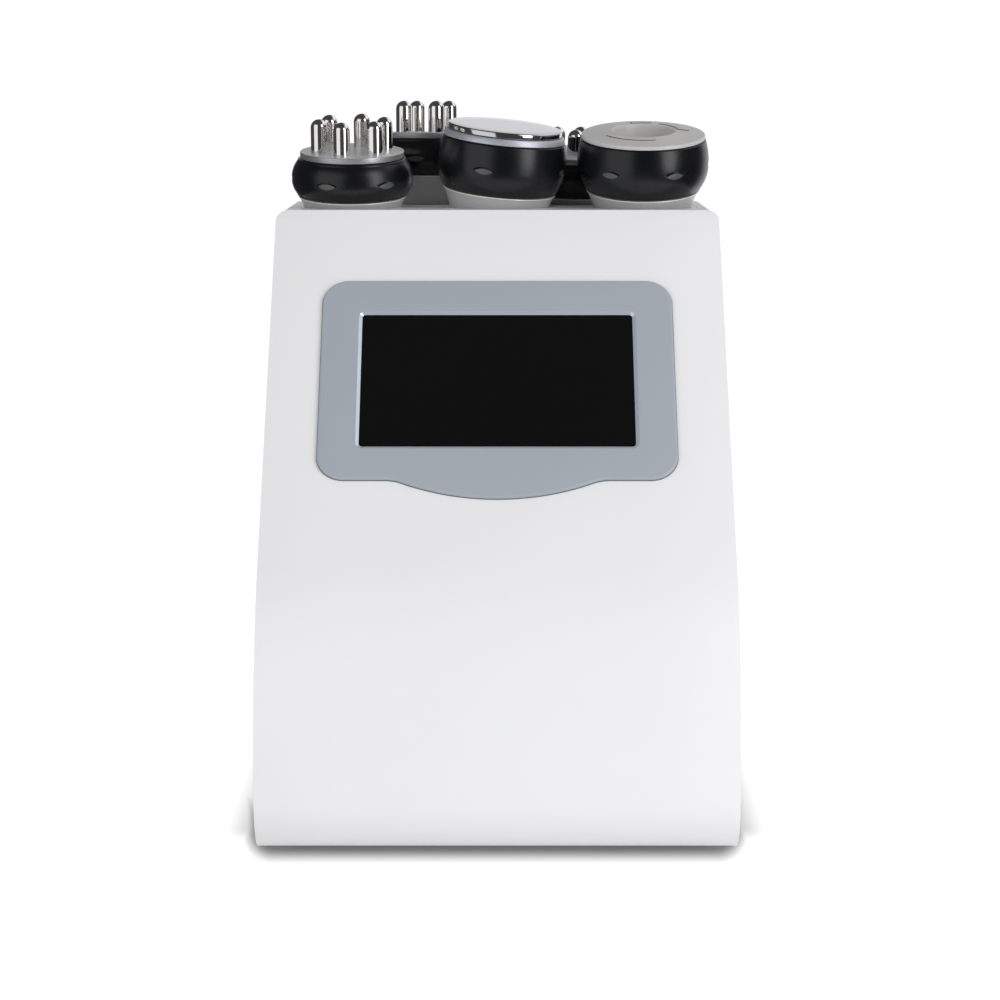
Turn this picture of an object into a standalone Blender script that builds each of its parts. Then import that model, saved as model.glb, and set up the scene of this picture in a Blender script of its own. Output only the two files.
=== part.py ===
"""Tabletop body-care machine: a white sloping case with a touch screen and five hand pieces in its top deck.

Metres, +Z up. The front faces -Y, and the origin is on the floor under the middle of the whole machine.
"Back" is a distance behind the foremost line of the front skin.
"""

import math

import bmesh
import bpy
from mathutils import Euler, Matrix, Vector

# Fits shared by all pieces, and the reach of a cutting tool past what it cuts
gap = 0.0003
overrun = 0.003
merge_distance = 0.000001
fine_steps = 24
round_steps = 16
fitting_steps = 12
small_steps = 8

# Case, in folded sheet with a thicker front skin
floor_gap = 0.006
lean = math.radians(40)
roll_radius = 0.030
tuck_length = 0.005
toe_height = 0.0127
belly_radius = 0.165
slope_below_bezel = 0.0585
base_height = 0.150
skin = 0.003
skin_corner_radius = 0.0075
side_inset = 0.0005
side_margin = 0.0034
sheet = 0.002
rear_recess = 0.001

# Top deck, a moulded cap
deck_skirt = 0.012
deck_wall = 0.003
deck_front_radius = 0.007
deck_rear_radius = 0.003

# Screen surround, glass and display, measured down the slope from the top edge of the front skin
bezel_drop = 0.05265
bezel_width = 0.2005
bezel_length = 0.13545
bezel_corner_radius = 0.0135
bezel_proud = 0.0023
bezel_bevel = 0.0009
bulge_depth = 0.0122
bulge_radius = 0.140
bulge_fillet = 0.025
window_drop = 0.02385
window_width = 0.1546
window_length = 0.0900
window_bevel = 0.0012
glass_border = 0.0050
glass_thickness = 0.0018
opening_play = 0.0008
display_thickness = 0.0060
control_board_width = 0.120
control_board_length = 0.070
control_board_gap = 0.0080
board_thickness = 0.0016
chip_size = 0.014
chip_height = 0.0025
connector_width = 0.030
connector_length = 0.008
connector_height = 0.007
post_radius = 0.003

# Collars of the hand pieces: radius at the foot, the belly and the brow, height, and level of the belly
rf_foot = 0.0324
rf_belly = 0.0365
rf_brow = 0.0318
rf_level = 0.0105
sextupolar_height = 0.0225
quadrupolar_height = 0.0217
tripolar_height = 0.0198
cavitation_foot = 0.0340
cavitation_belly = 0.0384
cavitation_brow = 0.0370
cavitation_height = 0.0304
cavitation_level = 0.0155
vacuum_foot = 0.0340
vacuum_belly = 0.0394
vacuum_brow = 0.0372
vacuum_height = 0.0306
vacuum_level = 0.0158
collar_round = 0.0012
collar_fullness = 2.2
dimple_count = 6
cavitation_dimple_count = 4
dimple_length = 0.0136
dimple_height = 0.0060
dimple_depth = 0.0022

# Where the hand pieces stand: play between heads, lean, and height of each collar over the deck
head_gap = 0.0094
row_gap = 0.0035
row_shift = 0.0006
sextupolar_rise = 0.0078
cavitation_rise = 0.0112
vacuum_rise = 0.0119
tripolar_rise = 0.0083
quadrupolar_rise = 0.0186
sextupolar_lean = math.radians(7.6)
cavitation_lean = math.radians(6.8)
cavitation_tilt = math.radians(5.5)
vacuum_lean = math.radians(11.5)
tripolar_lean = math.radians(7.4)
tripolar_tilt = math.radians(2.5)

# Grips, which hang below the deck, and the cups that hold them
grip_cone_slope = math.tan(math.radians(22))
shoulder_inset = 0.0005
spigot_radius = 0.0240
neck_radius = 0.0185
grip_radius = 0.0198
grip_length = 0.084
vacuum_grip_length = 0.062
tail_length = 0.014
tail_radius = 0.0085
gland_radius = 0.0062
gland_tip_radius = 0.0044
gland_length = 0.019
gland_groove = 0.0006
gland_rings = 3
gland_bore_radius = 0.0025
gland_bore_depth = 0.012
cup_depth = 0.020
cup_wall = 0.0012
cup_flange = 0.0016
cup_flange_lip = 0.0006

# Heads of the three radio-frequency hand pieces
plate_radius = 0.0312
plate_thickness = 0.0037
plate_round = 0.0006
electrode_radius = 0.0050
electrode_seat = 0.0020
sextupolar_count = 6
sextupolar_ring = 0.0200
sextupolar_length = 0.0196
sextupolar_turn = math.radians(15)
quadrupolar_count = 4
quadrupolar_ring = 0.0153
quadrupolar_length = 0.0194
quadrupolar_turn = math.radians(24.5)
tripolar_count = 3
tripolar_ring = 0.0089
tripolar_length = 0.0154
tripolar_turn = math.radians(-73)
sextupolar_dimple_turn = math.radians(-22.5)
quadrupolar_dimple_turn = math.radians(-10)
tripolar_dimple_turn = math.radians(-30)

# Head of the cavitation hand piece
rim_inset = 0.0002
rim_height = 0.0038
rim_top_radius = 0.0354
transducer_radius = 0.0343
transducer_height = 0.0034
transducer_round = 0.0009
stem_radius = 0.0200
cavitation_dimple_turn = math.radians(-16)

# Head of the vacuum hand piece
crown_edge = 0.0023
crown_rise = 0.0042
crown_lip_radius = 0.0205
mouth_radius = 0.0180
mouth_floor_radius = 0.0160
mouth_depth = 0.0180
suction_hole_radius = 0.0030
contact_count = 3
contact_inner_radius = 0.0225
contact_outer_radius = 0.0280
contact_depth = 0.0020
contact_notch = 0.0008
contact_sweep = math.radians(80)
contact_turn = math.radians(-125)
vacuum_dimple_turn = math.radians(-33)

# Rear panel fittings, placed from the panel's middle and lower edge, seen from behind
fan_size = 0.060
fan_corner_radius = 0.004
fan_depth = 0.015
fan_bore_radius = 0.0280
fan_across = 0.062
fan_up = 0.046
fan_hub_radius = 0.0135
fan_hub_round = 0.0010
fan_tip_play = 0.0006
fan_blade_count = 7
fan_blade_chord = 0.0120
fan_blade_thickness = 0.0012
fan_root_pitch = math.radians(48)
fan_tip_pitch = math.radians(30)
fan_strut = 0.0030
fan_strut_width = 0.0050
fan_axle_radius = 0.0020
fan_running_play = 0.0005
guard_thickness = 0.0022
guard_ring_width = 0.0018
guard_ring_count = 3
guard_hub_radius = 0.0070
guard_bar_width = 0.0024
guard_outer_radius = 0.0300
inlet_across = -0.086
inlet_up = 0.038
inlet_flange_width = 0.0320
inlet_flange_height = 0.0260
inlet_flange = 0.0030
inlet_body_width = 0.0270
inlet_body_height = 0.0195
inlet_body_depth = 0.0220
inlet_mouth_width = 0.0240
inlet_mouth_height = 0.0165
inlet_mouth_depth = 0.0170
inlet_corner_cut = 0.0045
inlet_pin_width = 0.0020
inlet_pin_height = 0.0040
inlet_pin_length = 0.0130
inlet_pin_pitch = 0.0070
inlet_earth_lift = 0.0030
switch_across = -0.048
switch_up = 0.038
switch_flange_width = 0.0150
switch_flange_height = 0.0210
switch_flange = 0.0018
switch_body_width = 0.0130
switch_body_height = 0.0190
switch_body_depth = 0.0150
rocker_width = 0.0095
rocker_radius = 0.0076
rocker_crest = 0.0034
rocker_dip = 0.0018
rocker_play = 0.0006
rocker_tilt = math.radians(9)
fuse_across = -0.018
fuse_up = 0.038
fuse_body_radius = 0.0060
fuse_flange_radius = 0.0085
fuse_flange = 0.0020
fuse_body_depth = 0.0200
fuse_cap_radius = 0.0046
fuse_cap_proud = 0.0040
fuse_cap_depth = 0.0090
fuse_slot_width = 0.0014
fuse_slot_depth = 0.0016
port_across = 0.010
port_up = 0.070
port_reach = 0.0110
port_radius = 0.0030
port_barb = 0.0009
port_barb_count = 2
port_lead_share = 0.3
port_bore_radius = 0.0018
port_flange_radius = 0.0080
port_flange = 0.0020
port_thread_radius = 0.0055
port_thread_depth = 0.0100
socket_pitch = 0.046
socket_below_top = 0.026
socket_nose_radius = 0.0078
socket_nose = 0.0075
socket_bore_radius = 0.0061
socket_bore_depth = 0.0062
socket_flange_radius = 0.0105
socket_flange = 0.0018
socket_tail_radius = 0.0068
socket_tail = 0.0120

# Feet, and vents in the base plate
foot_radius = 0.0090
foot_taper = 0.0012
foot_inset = 0.026
vent_count = 6
vent_length = 0.050
vent_width = 0.0032
vent_pitch = 0.0085
vent_from_rear = 0.062

# Electronics on the base plate
stud_height = 0.009
stud_inset = 0.006
supply_across = 0.068
supply_from_rear = 0.130
supply_width = 0.098
supply_length = 0.150
supply_height = 0.038
supply_shelf_length = 0.018
supply_shelf_height = 0.014
generator_across = -0.066
generator_from_rear = 0.130
generator_width = 0.110
generator_length = 0.150
sink_width = 0.060
sink_length = 0.100
sink_height = 0.028
sink_base = 0.004
sink_fin_count = 8
sink_fin = 0.0018
pump_across = 0.060
pump_back = 0.082
pump_motor_radius = 0.0155
pump_motor_length = 0.046
pump_head_size = 0.034
pump_head_length = 0.026
pump_nozzle_radius = 0.0025
pump_nozzle_length = 0.008

# Worked out from the sizes above: the case
belly_start = floor_gap + roll_radius + toe_height
slope_length = bezel_drop + bezel_length + slope_below_bezel
slope_foot = belly_start + belly_radius * math.sin(lean)
case_height = slope_foot + slope_length * math.cos(lean)
top_back = belly_radius * (1 - math.cos(lean)) + slope_length * math.sin(lean)
deck_front = top_back + skin / math.cos(lean) + gap
strip_length = tuck_length + roll_radius * math.pi / 2 + toe_height + belly_radius * lean + slope_length
wall_bottom = floor_gap + skin + gap
wall_top = case_height - deck_skirt - gap
bay_wall = deck_front + deck_wall + gap
window_centre = -bezel_drop - window_drop - window_length / 2

# Worked out: the places of the hand pieces, from their heads and cups
front_spacing = cavitation_belly + vacuum_belly + head_gap
back_spacing = front_spacing / 2 + row_shift
case_width = 2 * (front_spacing + vacuum_belly + side_margin)
half_body = case_width / 2 - side_inset
half_inside = half_body - sheet - gap
half_bay = half_body - deck_wall - gap


def cup_radius(foot, rise, tip):
    """Outside of a cup: the grip cone where the deck cuts it highest, with play and a wall."""
    cone = foot - shoulder_inset - grip_cone_slope * rise
    return cone / (1 - grip_cone_slope * math.tan(tip)) + gap + cup_wall


def cup_room(foot, rise, tip):
    """Room from a hole's middle to a wall beside its cup."""
    return cup_radius(foot, rise, tip) / math.cos(tip) + cup_flange_lip + gap


cavitation_tip = math.acos(math.cos(cavitation_lean) * math.cos(cavitation_tilt))
front_room = max(cup_room(vacuum_foot, vacuum_rise, vacuum_lean),
                 cup_room(cavitation_foot, cavitation_rise, cavitation_tip))
rear_room = cup_room(rf_foot, tripolar_rise, tripolar_lean) + deck_skirt * math.tan(tripolar_lean)
front_row = bay_wall + sheet + front_room
row_pitch = math.sqrt((vacuum_belly + rf_belly + row_gap) ** 2 - (front_spacing - back_spacing) ** 2)
back_row = front_row + row_pitch
case_depth = back_row + rear_room + deck_wall
rear_face = case_depth - rear_recess
rear_reach = port_reach - rear_recess
front_y = -(case_depth + rear_reach) / 2
panel_height = base_height - sheet - gap - wall_bottom


def clear_scene():
    for old in list(bpy.data.objects):
        bpy.data.objects.remove(old)


def material(name, colour, roughness, metallic=0.0):
    made = bpy.data.materials.new(name)
    made.use_nodes = True
    shader = made.node_tree.nodes["Principled BSDF"]
    shader.inputs["Base Color"].default_value = (*colour, 1.0)
    shader.inputs["Roughness"].default_value = roughness
    shader.inputs["Metallic"].default_value = metallic
    return made


def place(name, bm, finish=None, parent=None):
    """Makes a named object of a bmesh, in the axes of its parent where it has one."""
    bmesh.ops.remove_doubles(bm, verts=bm.verts, dist=merge_distance)
    bmesh.ops.recalc_face_normals(bm, faces=bm.faces)
    mesh = bpy.data.meshes.new(name)
    bm.to_mesh(mesh)
    bm.free()
    mesh.shade_smooth()
    mesh.set_sharp_from_angle(angle=math.radians(30))
    if finish is not None:
        mesh.materials.append(finish)
    made = bpy.data.objects.new(name, mesh)
    bpy.context.scene.collection.objects.link(made)
    made.parent = parent
    return made


def axes(name, location, turn=(0.0, 0.0, 0.0), parent=None):
    """An empty that carries pieces in its own axes."""
    made = bpy.data.objects.new(name, None)
    made.location = location
    made.rotation_euler = turn
    made.parent = parent
    bpy.context.scene.collection.objects.link(made)
    return made


def shape(target, name, bm, operation="DIFFERENCE", parent=None):
    """Cuts target with a hidden tool made of bm, or joins that tool to it."""
    tool = place(target.name + "_" + name, bm, None, parent)
    tool.hide_render = True
    tool.display_type = "WIRE"
    step = target.modifiers.new(name, "BOOLEAN")
    step.operation = operation
    step.solver = "EXACT"
    step.object = tool


def join(target, name, bm, parent=None):
    shape(target, name, bm, "UNION", parent)


def together(*parts):
    """One bmesh with the separate bodies of several."""
    whole = bmesh.new()
    for part in parts:
        mesh = bpy.data.meshes.new("part")
        part.to_mesh(mesh)
        part.free()
        whole.from_mesh(mesh)
        bpy.data.meshes.remove(mesh)
    return whole


def moved(bm, matrix):
    bmesh.ops.transform(bm, matrix=matrix, verts=bm.verts)
    return bm


def shifted(bm, x=0.0, y=0.0, z=0.0):
    return moved(bm, Matrix.Translation((x, y, z)))


def arc(centre, radius, start, end, steps):
    return [(centre[0] + radius * math.cos(start + (end - start) * step / steps),
             centre[1] + radius * math.sin(start + (end - start) * step / steps)) for step in range(steps + 1)]


def rectangle(width, height, radius=0.0, steps=4):
    """Corner points of a rectangle about the middle, with round corners where a radius is given."""
    across, up = width / 2 - radius, height / 2 - radius
    corners = ((across, up), (-across, up), (-across, -up), (across, -up))
    if radius == 0:
        return list(corners)
    points = []
    for quarter, corner in enumerate(corners):
        points += arc(corner, radius, quarter * math.pi / 2, (quarter + 1) * math.pi / 2, steps)
    return points


def prism(outline, low, high):
    """A straight extrusion of a closed (x, y) outline from z = low to z = high."""
    bm = bmesh.new()
    face = bm.faces.new([bm.verts.new((x, y, low)) for x, y in outline])
    made = bmesh.ops.extrude_face_region(bm, geom=[face])
    roof = [item for item in made["geom"] if isinstance(item, bmesh.types.BMVert)]
    bmesh.ops.translate(bm, vec=(0, 0, high - low), verts=roof)
    return bm


def across_case(outline, half_width, other=None):
    """An extrusion across the case of a closed outline of (back, height) points."""
    low = -half_width if other is None else other
    turn = Matrix(((0, 0, 1, 0), (1, 0, 0, front_y), (0, 1, 0, 0), (0, 0, 0, 1)))
    return moved(prism(outline, low, half_width), turn)


def box(width, length, height, low_centre):
    """A plain block that stands on the point low_centre."""
    across, along, base = low_centre
    return shifted(prism(rectangle(width, length), base, base + height), across, along)


def turned(profile, steps):
    """A solid of revolution about Z; a profile that doesn't start on the axis closes into a ring."""
    bm = bmesh.new()
    points = [bm.verts.new((radius, 0.0, height)) for radius, height in profile]
    edges = [bm.edges.new(pair) for pair in zip(points, points[1:])]
    if profile[0][0] > 0:
        edges.append(bm.edges.new((points[-1], points[0])))
    bmesh.ops.spin(bm, geom=points + edges, cent=(0, 0, 0), axis=(0, 0, 1), angle=math.tau,
                   steps=steps, use_merge=True)
    bmesh.ops.remove_doubles(bm, verts=bm.verts, dist=merge_distance)
    return bm


def cylinder(radius, low, high, steps=fitting_steps):
    return turned([(0.0, low), (radius, low), (radius, high), (0.0, high)], steps)


def sector(profile, start, sweep, steps):
    """Part of a revolution of a closed (radius, height) profile."""
    bm = bmesh.new()
    spread = Matrix.Rotation(start, 4, "Z")
    points = [bm.verts.new(spread @ Vector((radius, 0.0, height))) for radius, height in profile]
    face = bm.faces.new(points)
    bmesh.ops.spin(bm, geom=[face], cent=(0, 0, 0), axis=(0, 0, 1), angle=sweep, steps=steps)
    return bm


def skin_point(distance, inset=0.0):
    """(back, height) at a distance along the outside of the front skin from its lower edge, set in by inset."""
    roll = roll_radius - inset
    belly = belly_radius - inset
    left = distance - tuck_length
    if left < 0:
        return roll_radius - left, floor_gap + inset
    if left < roll_radius * math.pi / 2:
        turn = left / roll_radius
        return roll_radius - roll * math.sin(turn), floor_gap + roll_radius - roll * math.cos(turn)
    left -= roll_radius * math.pi / 2
    if left < toe_height:
        return inset, floor_gap + roll_radius + left
    left -= toe_height
    turn = min(left / belly_radius, lean)
    straight = max(left - belly_radius * lean, 0.0)
    return (belly_radius - belly * math.cos(turn) + straight * math.sin(lean),
            belly_start + belly * math.sin(turn) + straight * math.cos(lean))


def skin_stations():
    """Distances along the skin that carry its bends, from the end of the tuck to the foot of the slope."""
    toe = tuck_length + roll_radius * math.pi / 2
    belly = toe + toe_height
    bends = [tuck_length + roll_radius * math.pi / 2 * step / 6 for step in range(7)]
    return bends + [belly + belly_radius * lean * step / 8 for step in range(9)]


def front_skin():
    """The folded front: a strip along the case profile whose four corners are rounded."""
    corner = [skin_corner_radius * (1 - math.cos(math.pi / 2 * step / 5)) for step in range(6)]
    ends = corner + [strip_length - distance for distance in corner]
    stations = sorted(set(ends + [item for item in skin_stations() if item > skin_corner_radius]))
    bm = bmesh.new()
    rows = []
    for station in stations:
        nearest = min(station, strip_length - station, skin_corner_radius)
        rounding = math.sqrt(skin_corner_radius ** 2 - (skin_corner_radius - nearest) ** 2)
        half = case_width / 2 - skin_corner_radius + rounding
        reach = skin * math.tan(lean) if station == strip_length else 0.0
        outer = skin_point(station)
        inner = skin_point(station + reach, skin)
        corners = ((-half, outer), (half, outer), (half, inner), (-half, inner))
        rows.append([bm.verts.new((side, front_y + back, height)) for side, (back, height) in corners])
    for low, high in zip(rows, rows[1:]):
        for item in range(4):
            following = (item + 1) % 4
            bm.faces.new((low[item], low[following], high[following], high[item]))
    bm.faces.new(rows[0])
    bm.faces.new(rows[-1])
    return bm


def side_outline():
    """Outline of a side panel, which follows the inside of the front skin."""
    inset = skin + gap
    points = [skin_point(station, inset) for station in skin_stations()]
    foot_back, foot_height = points[-1]
    run = (wall_top - foot_height) * math.tan(lean)
    return points + [(foot_back + run, wall_top), (case_depth, wall_top), (case_depth, wall_bottom)]


def bezel_outline(inset):
    """The screen surround: round corners, and a belly in its lower edge between two hollow shoulders."""
    half = bezel_length / 2
    arc_centre = -half - bulge_depth + bulge_radius
    run = bulge_radius + bulge_fillet
    shoulder = math.sqrt(run ** 2 - (arc_centre + half + bulge_fillet) ** 2)
    swing = math.asin(shoulder / run)
    corner = bezel_corner_radius - inset
    side = bezel_width / 2 - bezel_corner_radius
    top = half - bezel_corner_radius
    points = []
    for quarter, (across, up) in enumerate(((side, top), (-side, top), (-side, -top))):
        points += arc((across, up), corner, quarter * math.pi / 2, (quarter + 1) * math.pi / 2, 5)
    up = math.pi / 2
    points += arc((-shoulder, -half - bulge_fillet), bulge_fillet + inset, up, up - swing, 4)
    points += arc((0.0, arc_centre), bulge_radius - inset, -up - swing, -up + swing, 12)[1:-1]
    points += arc((shoulder, -half - bulge_fillet), bulge_fillet + inset, up + swing, up, 4)
    return points + arc((side, -top), corner, 3 * math.pi / 2, math.tau, 5)


def layered(sections):
    """A loft through closed outlines of equal count, each given with its height."""
    bm = bmesh.new()
    rings = [[bm.verts.new((x, y, height)) for x, y in outline] for outline, height in sections]
    for low, high in zip(rings, rings[1:]):
        for item in range(len(low)):
            following = (item + 1) % len(low)
            bm.faces.new((low[item], low[following], high[following], high[item]))
    bm.faces.new(rings[0])
    bm.faces.new(rings[-1])
    return bm


def build_case(white, dark):
    front = place("front_panel", front_skin(), white)
    opening = rectangle(window_width + 2 * (glass_border + opening_play),
                        window_length + 2 * (glass_border + opening_play))
    cutter = shifted(prism(opening, -skin - overrun, overrun), 0.0, window_centre)
    shape(front, "opening", cutter, parent=screen)
    place("right_side_panel", across_case(side_outline(), half_body, half_body - sheet), white)
    place("left_side_panel", across_case(side_outline(), sheet - half_body, -half_body), white)

    plate_front = roll_radius + tuck_length + gap
    plate = [(plate_front, floor_gap), (case_depth, floor_gap),
             (case_depth, floor_gap + skin), (plate_front, floor_gap + skin)]
    base = place("base_plate", across_case(plate, half_body), white)
    studs = []
    middle = front_y + rear_face - generator_from_rear
    for x, y in rectangle(generator_width - 2 * stud_inset, generator_length - 2 * stud_inset):
        stud = cylinder(post_radius, floor_gap + skin - gap, floor_gap + skin + stud_height, small_steps)
        studs.append(shifted(stud, generator_across + x, middle + y))
    join(base, "studs", together(*studs))
    slots = []
    for side in (-1, 1):
        for step in range(vent_count):
            slot = rectangle(vent_length, vent_width)
            across = side * (vent_length / 2 + foot_inset)
            back = front_y + rear_face - vent_from_rear + vent_pitch * (step - (vent_count - 1) / 2)
            slots.append(shifted(prism(slot, floor_gap - overrun, floor_gap + skin + overrun), across, back))
    shape(base, "vents", together(*slots))

    tray = [(bay_wall, base_height - sheet), (rear_face, base_height - sheet), (rear_face, base_height),
            (bay_wall + sheet, base_height), (bay_wall + sheet, case_height - deck_wall - gap),
            (bay_wall, case_height - deck_wall - gap)]
    place("bay_tray", across_case(tray, half_bay), white)

    foot_profile = [(0.0, 0.0), (foot_radius - foot_taper, 0.0), (foot_radius, foot_taper),
                    (foot_radius, floor_gap - gap), (0.0, floor_gap - gap)]
    for end, back in (("front", plate_front + foot_inset), ("rear", case_depth - foot_inset)):
        for hand, side in (("left", -1), ("right", 1)):
            foot = shifted(turned(foot_profile, fitting_steps), side * (half_body - foot_inset), front_y + back)
            place(end + "_" + hand + "_foot", foot, dark)


def build_deck(white):
    """The cap of the case: its skirt leans with the front skin, and its shoulders get tighter to the rear."""
    bm = bmesh.new()
    low = case_height - deck_skirt
    rows = []
    for back, radius in ((deck_front, deck_front_radius), (case_depth, deck_rear_radius)):
        side, top = half_body - radius, case_height - radius
        points = [(half_body, low)] + arc((side, top), radius, 0, math.pi / 2, 5)
        points += arc((-side, top), radius, math.pi / 2, math.pi, 5) + [(-half_body, low)]
        slant = math.tan(lean) if back == deck_front else 0.0
        rows.append([bm.verts.new((x, front_y + back - (case_height - z) * slant, z)) for x, z in points])
    for item in range(len(rows[0])):
        following = (item + 1) % len(rows[0])
        bm.faces.new((rows[0][item], rows[0][following], rows[1][following], rows[1][item]))
    bm.faces.new(rows[0])
    bm.faces.new(rows[1])
    deck = place("top_deck", bm, white)
    ceiling, below = case_height - deck_wall, low - overrun
    inner_front = deck_front + deck_wall / math.cos(lean) - deck_wall * math.tan(lean)
    inner_rear = case_depth - deck_wall
    hollow = [(inner_front, ceiling), (inner_front - (ceiling - below) * math.tan(lean), below),
              (inner_rear, below), (inner_rear, ceiling)]
    shape(deck, "hollow", across_case(hollow, half_body - deck_wall))
    return deck


def build_screen(grey, glass, dark, green, metal):
    """Surround, touch glass, display and control board, in axes that lie in the slope of the case."""
    middle = -bezel_drop - bezel_length / 2
    bezel = layered([(bezel_outline(0.0), gap), (bezel_outline(0.0), bezel_proud - bezel_bevel),
                     (bezel_outline(bezel_bevel), bezel_proud)])
    surround = place("screen_bezel", shifted(bezel, 0.0, middle), grey, screen)
    reach = window_bevel + overrun
    window = layered([(rectangle(window_width, window_length), -overrun),
                      (rectangle(window_width, window_length), bezel_proud - window_bevel),
                      (rectangle(window_width + 2 * reach, window_length + 2 * reach), bezel_proud + overrun)])
    shape(surround, "window", shifted(window, 0.0, window_centre), parent=screen)
    glass_width = window_width + 2 * glass_border
    glass_length = window_length + 2 * glass_border
    glass_top = bezel_proud - window_bevel - gap
    pocket = prism(rectangle(glass_width + 2 * gap, glass_length + 2 * gap), -overrun, glass_top + gap)
    shape(surround, "pocket", shifted(pocket, 0.0, window_centre), parent=screen)

    glass_low = glass_top - glass_thickness
    pane = prism(rectangle(glass_width, glass_length), glass_low, glass_top)
    place("touch_glass", shifted(pane, 0.0, window_centre), glass, screen)
    display_low = glass_low - gap - display_thickness
    display = prism(rectangle(glass_width, glass_length), display_low, glass_low - gap)
    place("display_module", shifted(display, 0.0, window_centre), metal, screen)

    board_top = display_low - gap - control_board_gap
    board_low = board_top - board_thickness
    outline = rectangle(control_board_width, control_board_length)
    board = place("control_board", shifted(prism(outline, board_low, board_top), 0.0, window_centre), green, screen)
    posts = [shifted(cylinder(post_radius, board_top - gap, display_low - gap, small_steps), x, window_centre + y)
             for x, y in rectangle(control_board_width - 2 * stud_inset, control_board_length - 2 * stud_inset)]
    join(board, "posts", together(*posts), parent=screen)
    chip = box(chip_size, chip_size, chip_height + gap, (0.0, window_centre, board_low - chip_height))
    parts = [chip]
    for side in (-1, 1):
        across = side * (control_board_width / 2 - connector_width)
        parts.append(box(connector_width, connector_length, connector_height + gap,
                         (across, window_centre, board_low - connector_height)))
    join(board, "parts", together(*parts), parent=screen)


def collar_profile(foot, belly, brow, height, level):
    """Half section of a collar ring: a plain bore and a barrel-shaped outside with softened rims."""
    def radius(up):
        edge, span = (foot, level) if up < level else (brow, height - level)
        return edge + (belly - edge) * (1 - (abs(up - level) / span) ** collar_fullness)

    bore = spigot_radius + gap
    levels = [collar_round, level / 2, level, (level + height) / 2, height - collar_round]
    outside = [(foot - collar_round, 0.0)] + [(radius(up), up) for up in levels]
    return [(bore, height), (bore, 0.0)] + outside + [(brow - collar_round, height)]


def spindle(length, height, depth, steps):
    """A body along X that is pointed at both ends, swells in an arc and has an oval section."""
    profile = [(4 * step * (steps - step) / steps ** 2, step / steps - 1 / 2) for step in range(steps + 1)]
    body = turned(profile, small_steps)
    lay = Matrix(((0, 0, 1, 0), (1, 0, 0, 0), (0, 1, 0, 0), (0, 0, 0, 1)))
    return moved(body, Matrix.Diagonal((length, depth, height / 2, 1)) @ lay)


def dimples(belly, level, count, turn):
    """Eye-shaped finger hollows round a collar, cut by spindles whose points lie on its belly."""
    chord = math.sqrt(belly ** 2 - (dimple_length / 2) ** 2)
    parts = []
    for step in range(count):
        cutter = spindle(dimple_length, dimple_height, dimple_depth - (belly - chord), 6)
        out = Matrix.Translation((0.0, -chord, level))
        spread = Matrix.Rotation(turn + math.tau * step / count, 4, "Z")
        parts.append(moved(cutter, spread @ out))
    return together(*parts)


def grip_profile(foot, height, length):
    """Half section of a grip: a spigot, the cone under the collar, a waisted handle and a domed tail."""
    cone_top = foot - shoulder_inset
    cone_length = (cone_top - neck_radius) / grip_cone_slope
    points = [(0.0, height / 2 - gap), (spigot_radius, height / 2 - gap), (spigot_radius, -gap), (cone_top, -gap)]
    for share in (0.0, 0.25, 0.5, 0.75, 1.0):
        swell = (grip_radius - neck_radius) * math.sin(math.pi * share)
        points.append((neck_radius + swell, -gap - cone_length - length * share))
    tail_top = -gap - cone_length - length
    for turn in (math.radians(40), math.radians(75), math.radians(90)):
        narrowing = (neck_radius - tail_radius) * (1 - math.cos(turn))
        points.append((neck_radius - narrowing, tail_top - tail_length * math.sin(turn)))
    return points + [(0.0, tail_top - tail_length)]


def gland_profile(top):
    """Half section of a ribbed cord gland with an open bore at its lower end."""
    points = [(0.0, top), (gland_radius, top)]
    pitch = gland_length / gland_rings
    for ring in range(gland_rings):
        for share, groove in ((0.45, 0.0), (0.6, gland_groove), (1.0, 0.0)):
            down = pitch * (ring + share)
            radius = gland_radius + (gland_tip_radius - gland_radius) * down / gland_length
            points.append((radius - groove, top - down))
    low = top - gland_length
    return points + [(gland_bore_radius, low), (gland_bore_radius, low + gland_bore_depth),
                     (0.0, low + gland_bore_depth)]


def stand(name, across, back, lean_forward, tilt, rise):
    """Axes of one hand piece: level axes in the middle of its hole, and leaning ones at its collar's foot."""
    level = axes(name + "_hole", (across, front_y + back, case_height))
    turn = Euler((lean_forward, tilt, 0.0))
    up = turn.to_matrix() @ Vector((0.0, 0.0, 1.0))
    axis = axes(name + "_axis", up * rise, turn, level)
    return level, axis, up


def build_cup(name, deck, places, foot, rise, finish):
    """A holder cup, flush with the deck, whose bore follows the leaning grip cone; its hole in the deck."""
    level, axis, up = places
    tip = math.acos(up.z)
    outside = cup_radius(foot, rise, tip)
    low, high = -rise - cup_depth, -rise + outside * math.tan(tip) + overrun
    cup = place(name + "_cup", cylinder(outside, low, high, round_steps), finish, axis)
    flange_top = -deck_wall - gap
    drift = up * (flange_top - cup_flange / 2) / up.z
    flange = cylinder(outside + cup_flange_lip, flange_top - cup_flange, flange_top, round_steps)
    join(cup, "flange", shifted(flange, drift.x, drift.y), level)
    over = 2 * (outside + cup_flange_lip + overrun)
    shape(cup, "flush", box(over, over, over, (0.0, 0.0, 0.0)), parent=level)
    cone_top = foot - shoulder_inset + gap
    bend = max(-gap - (cone_top - grip_radius - 2 * gap) / grip_cone_slope, low)
    narrow = cone_top + grip_cone_slope * (bend + gap)
    wide = cone_top + grip_cone_slope * (high + overrun + gap)
    bore = [(0.0, low - overrun), (narrow, low - overrun), (narrow, bend), (wide, high + overrun),
            (0.0, high + overrun)]
    shape(cup, "bore", turned(bore, round_steps), parent=axis)
    hole = cylinder(outside + gap, -rise - cup_depth, high + overrun, round_steps)
    shape(deck, name + "_hole", hole, parent=axis)


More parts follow.
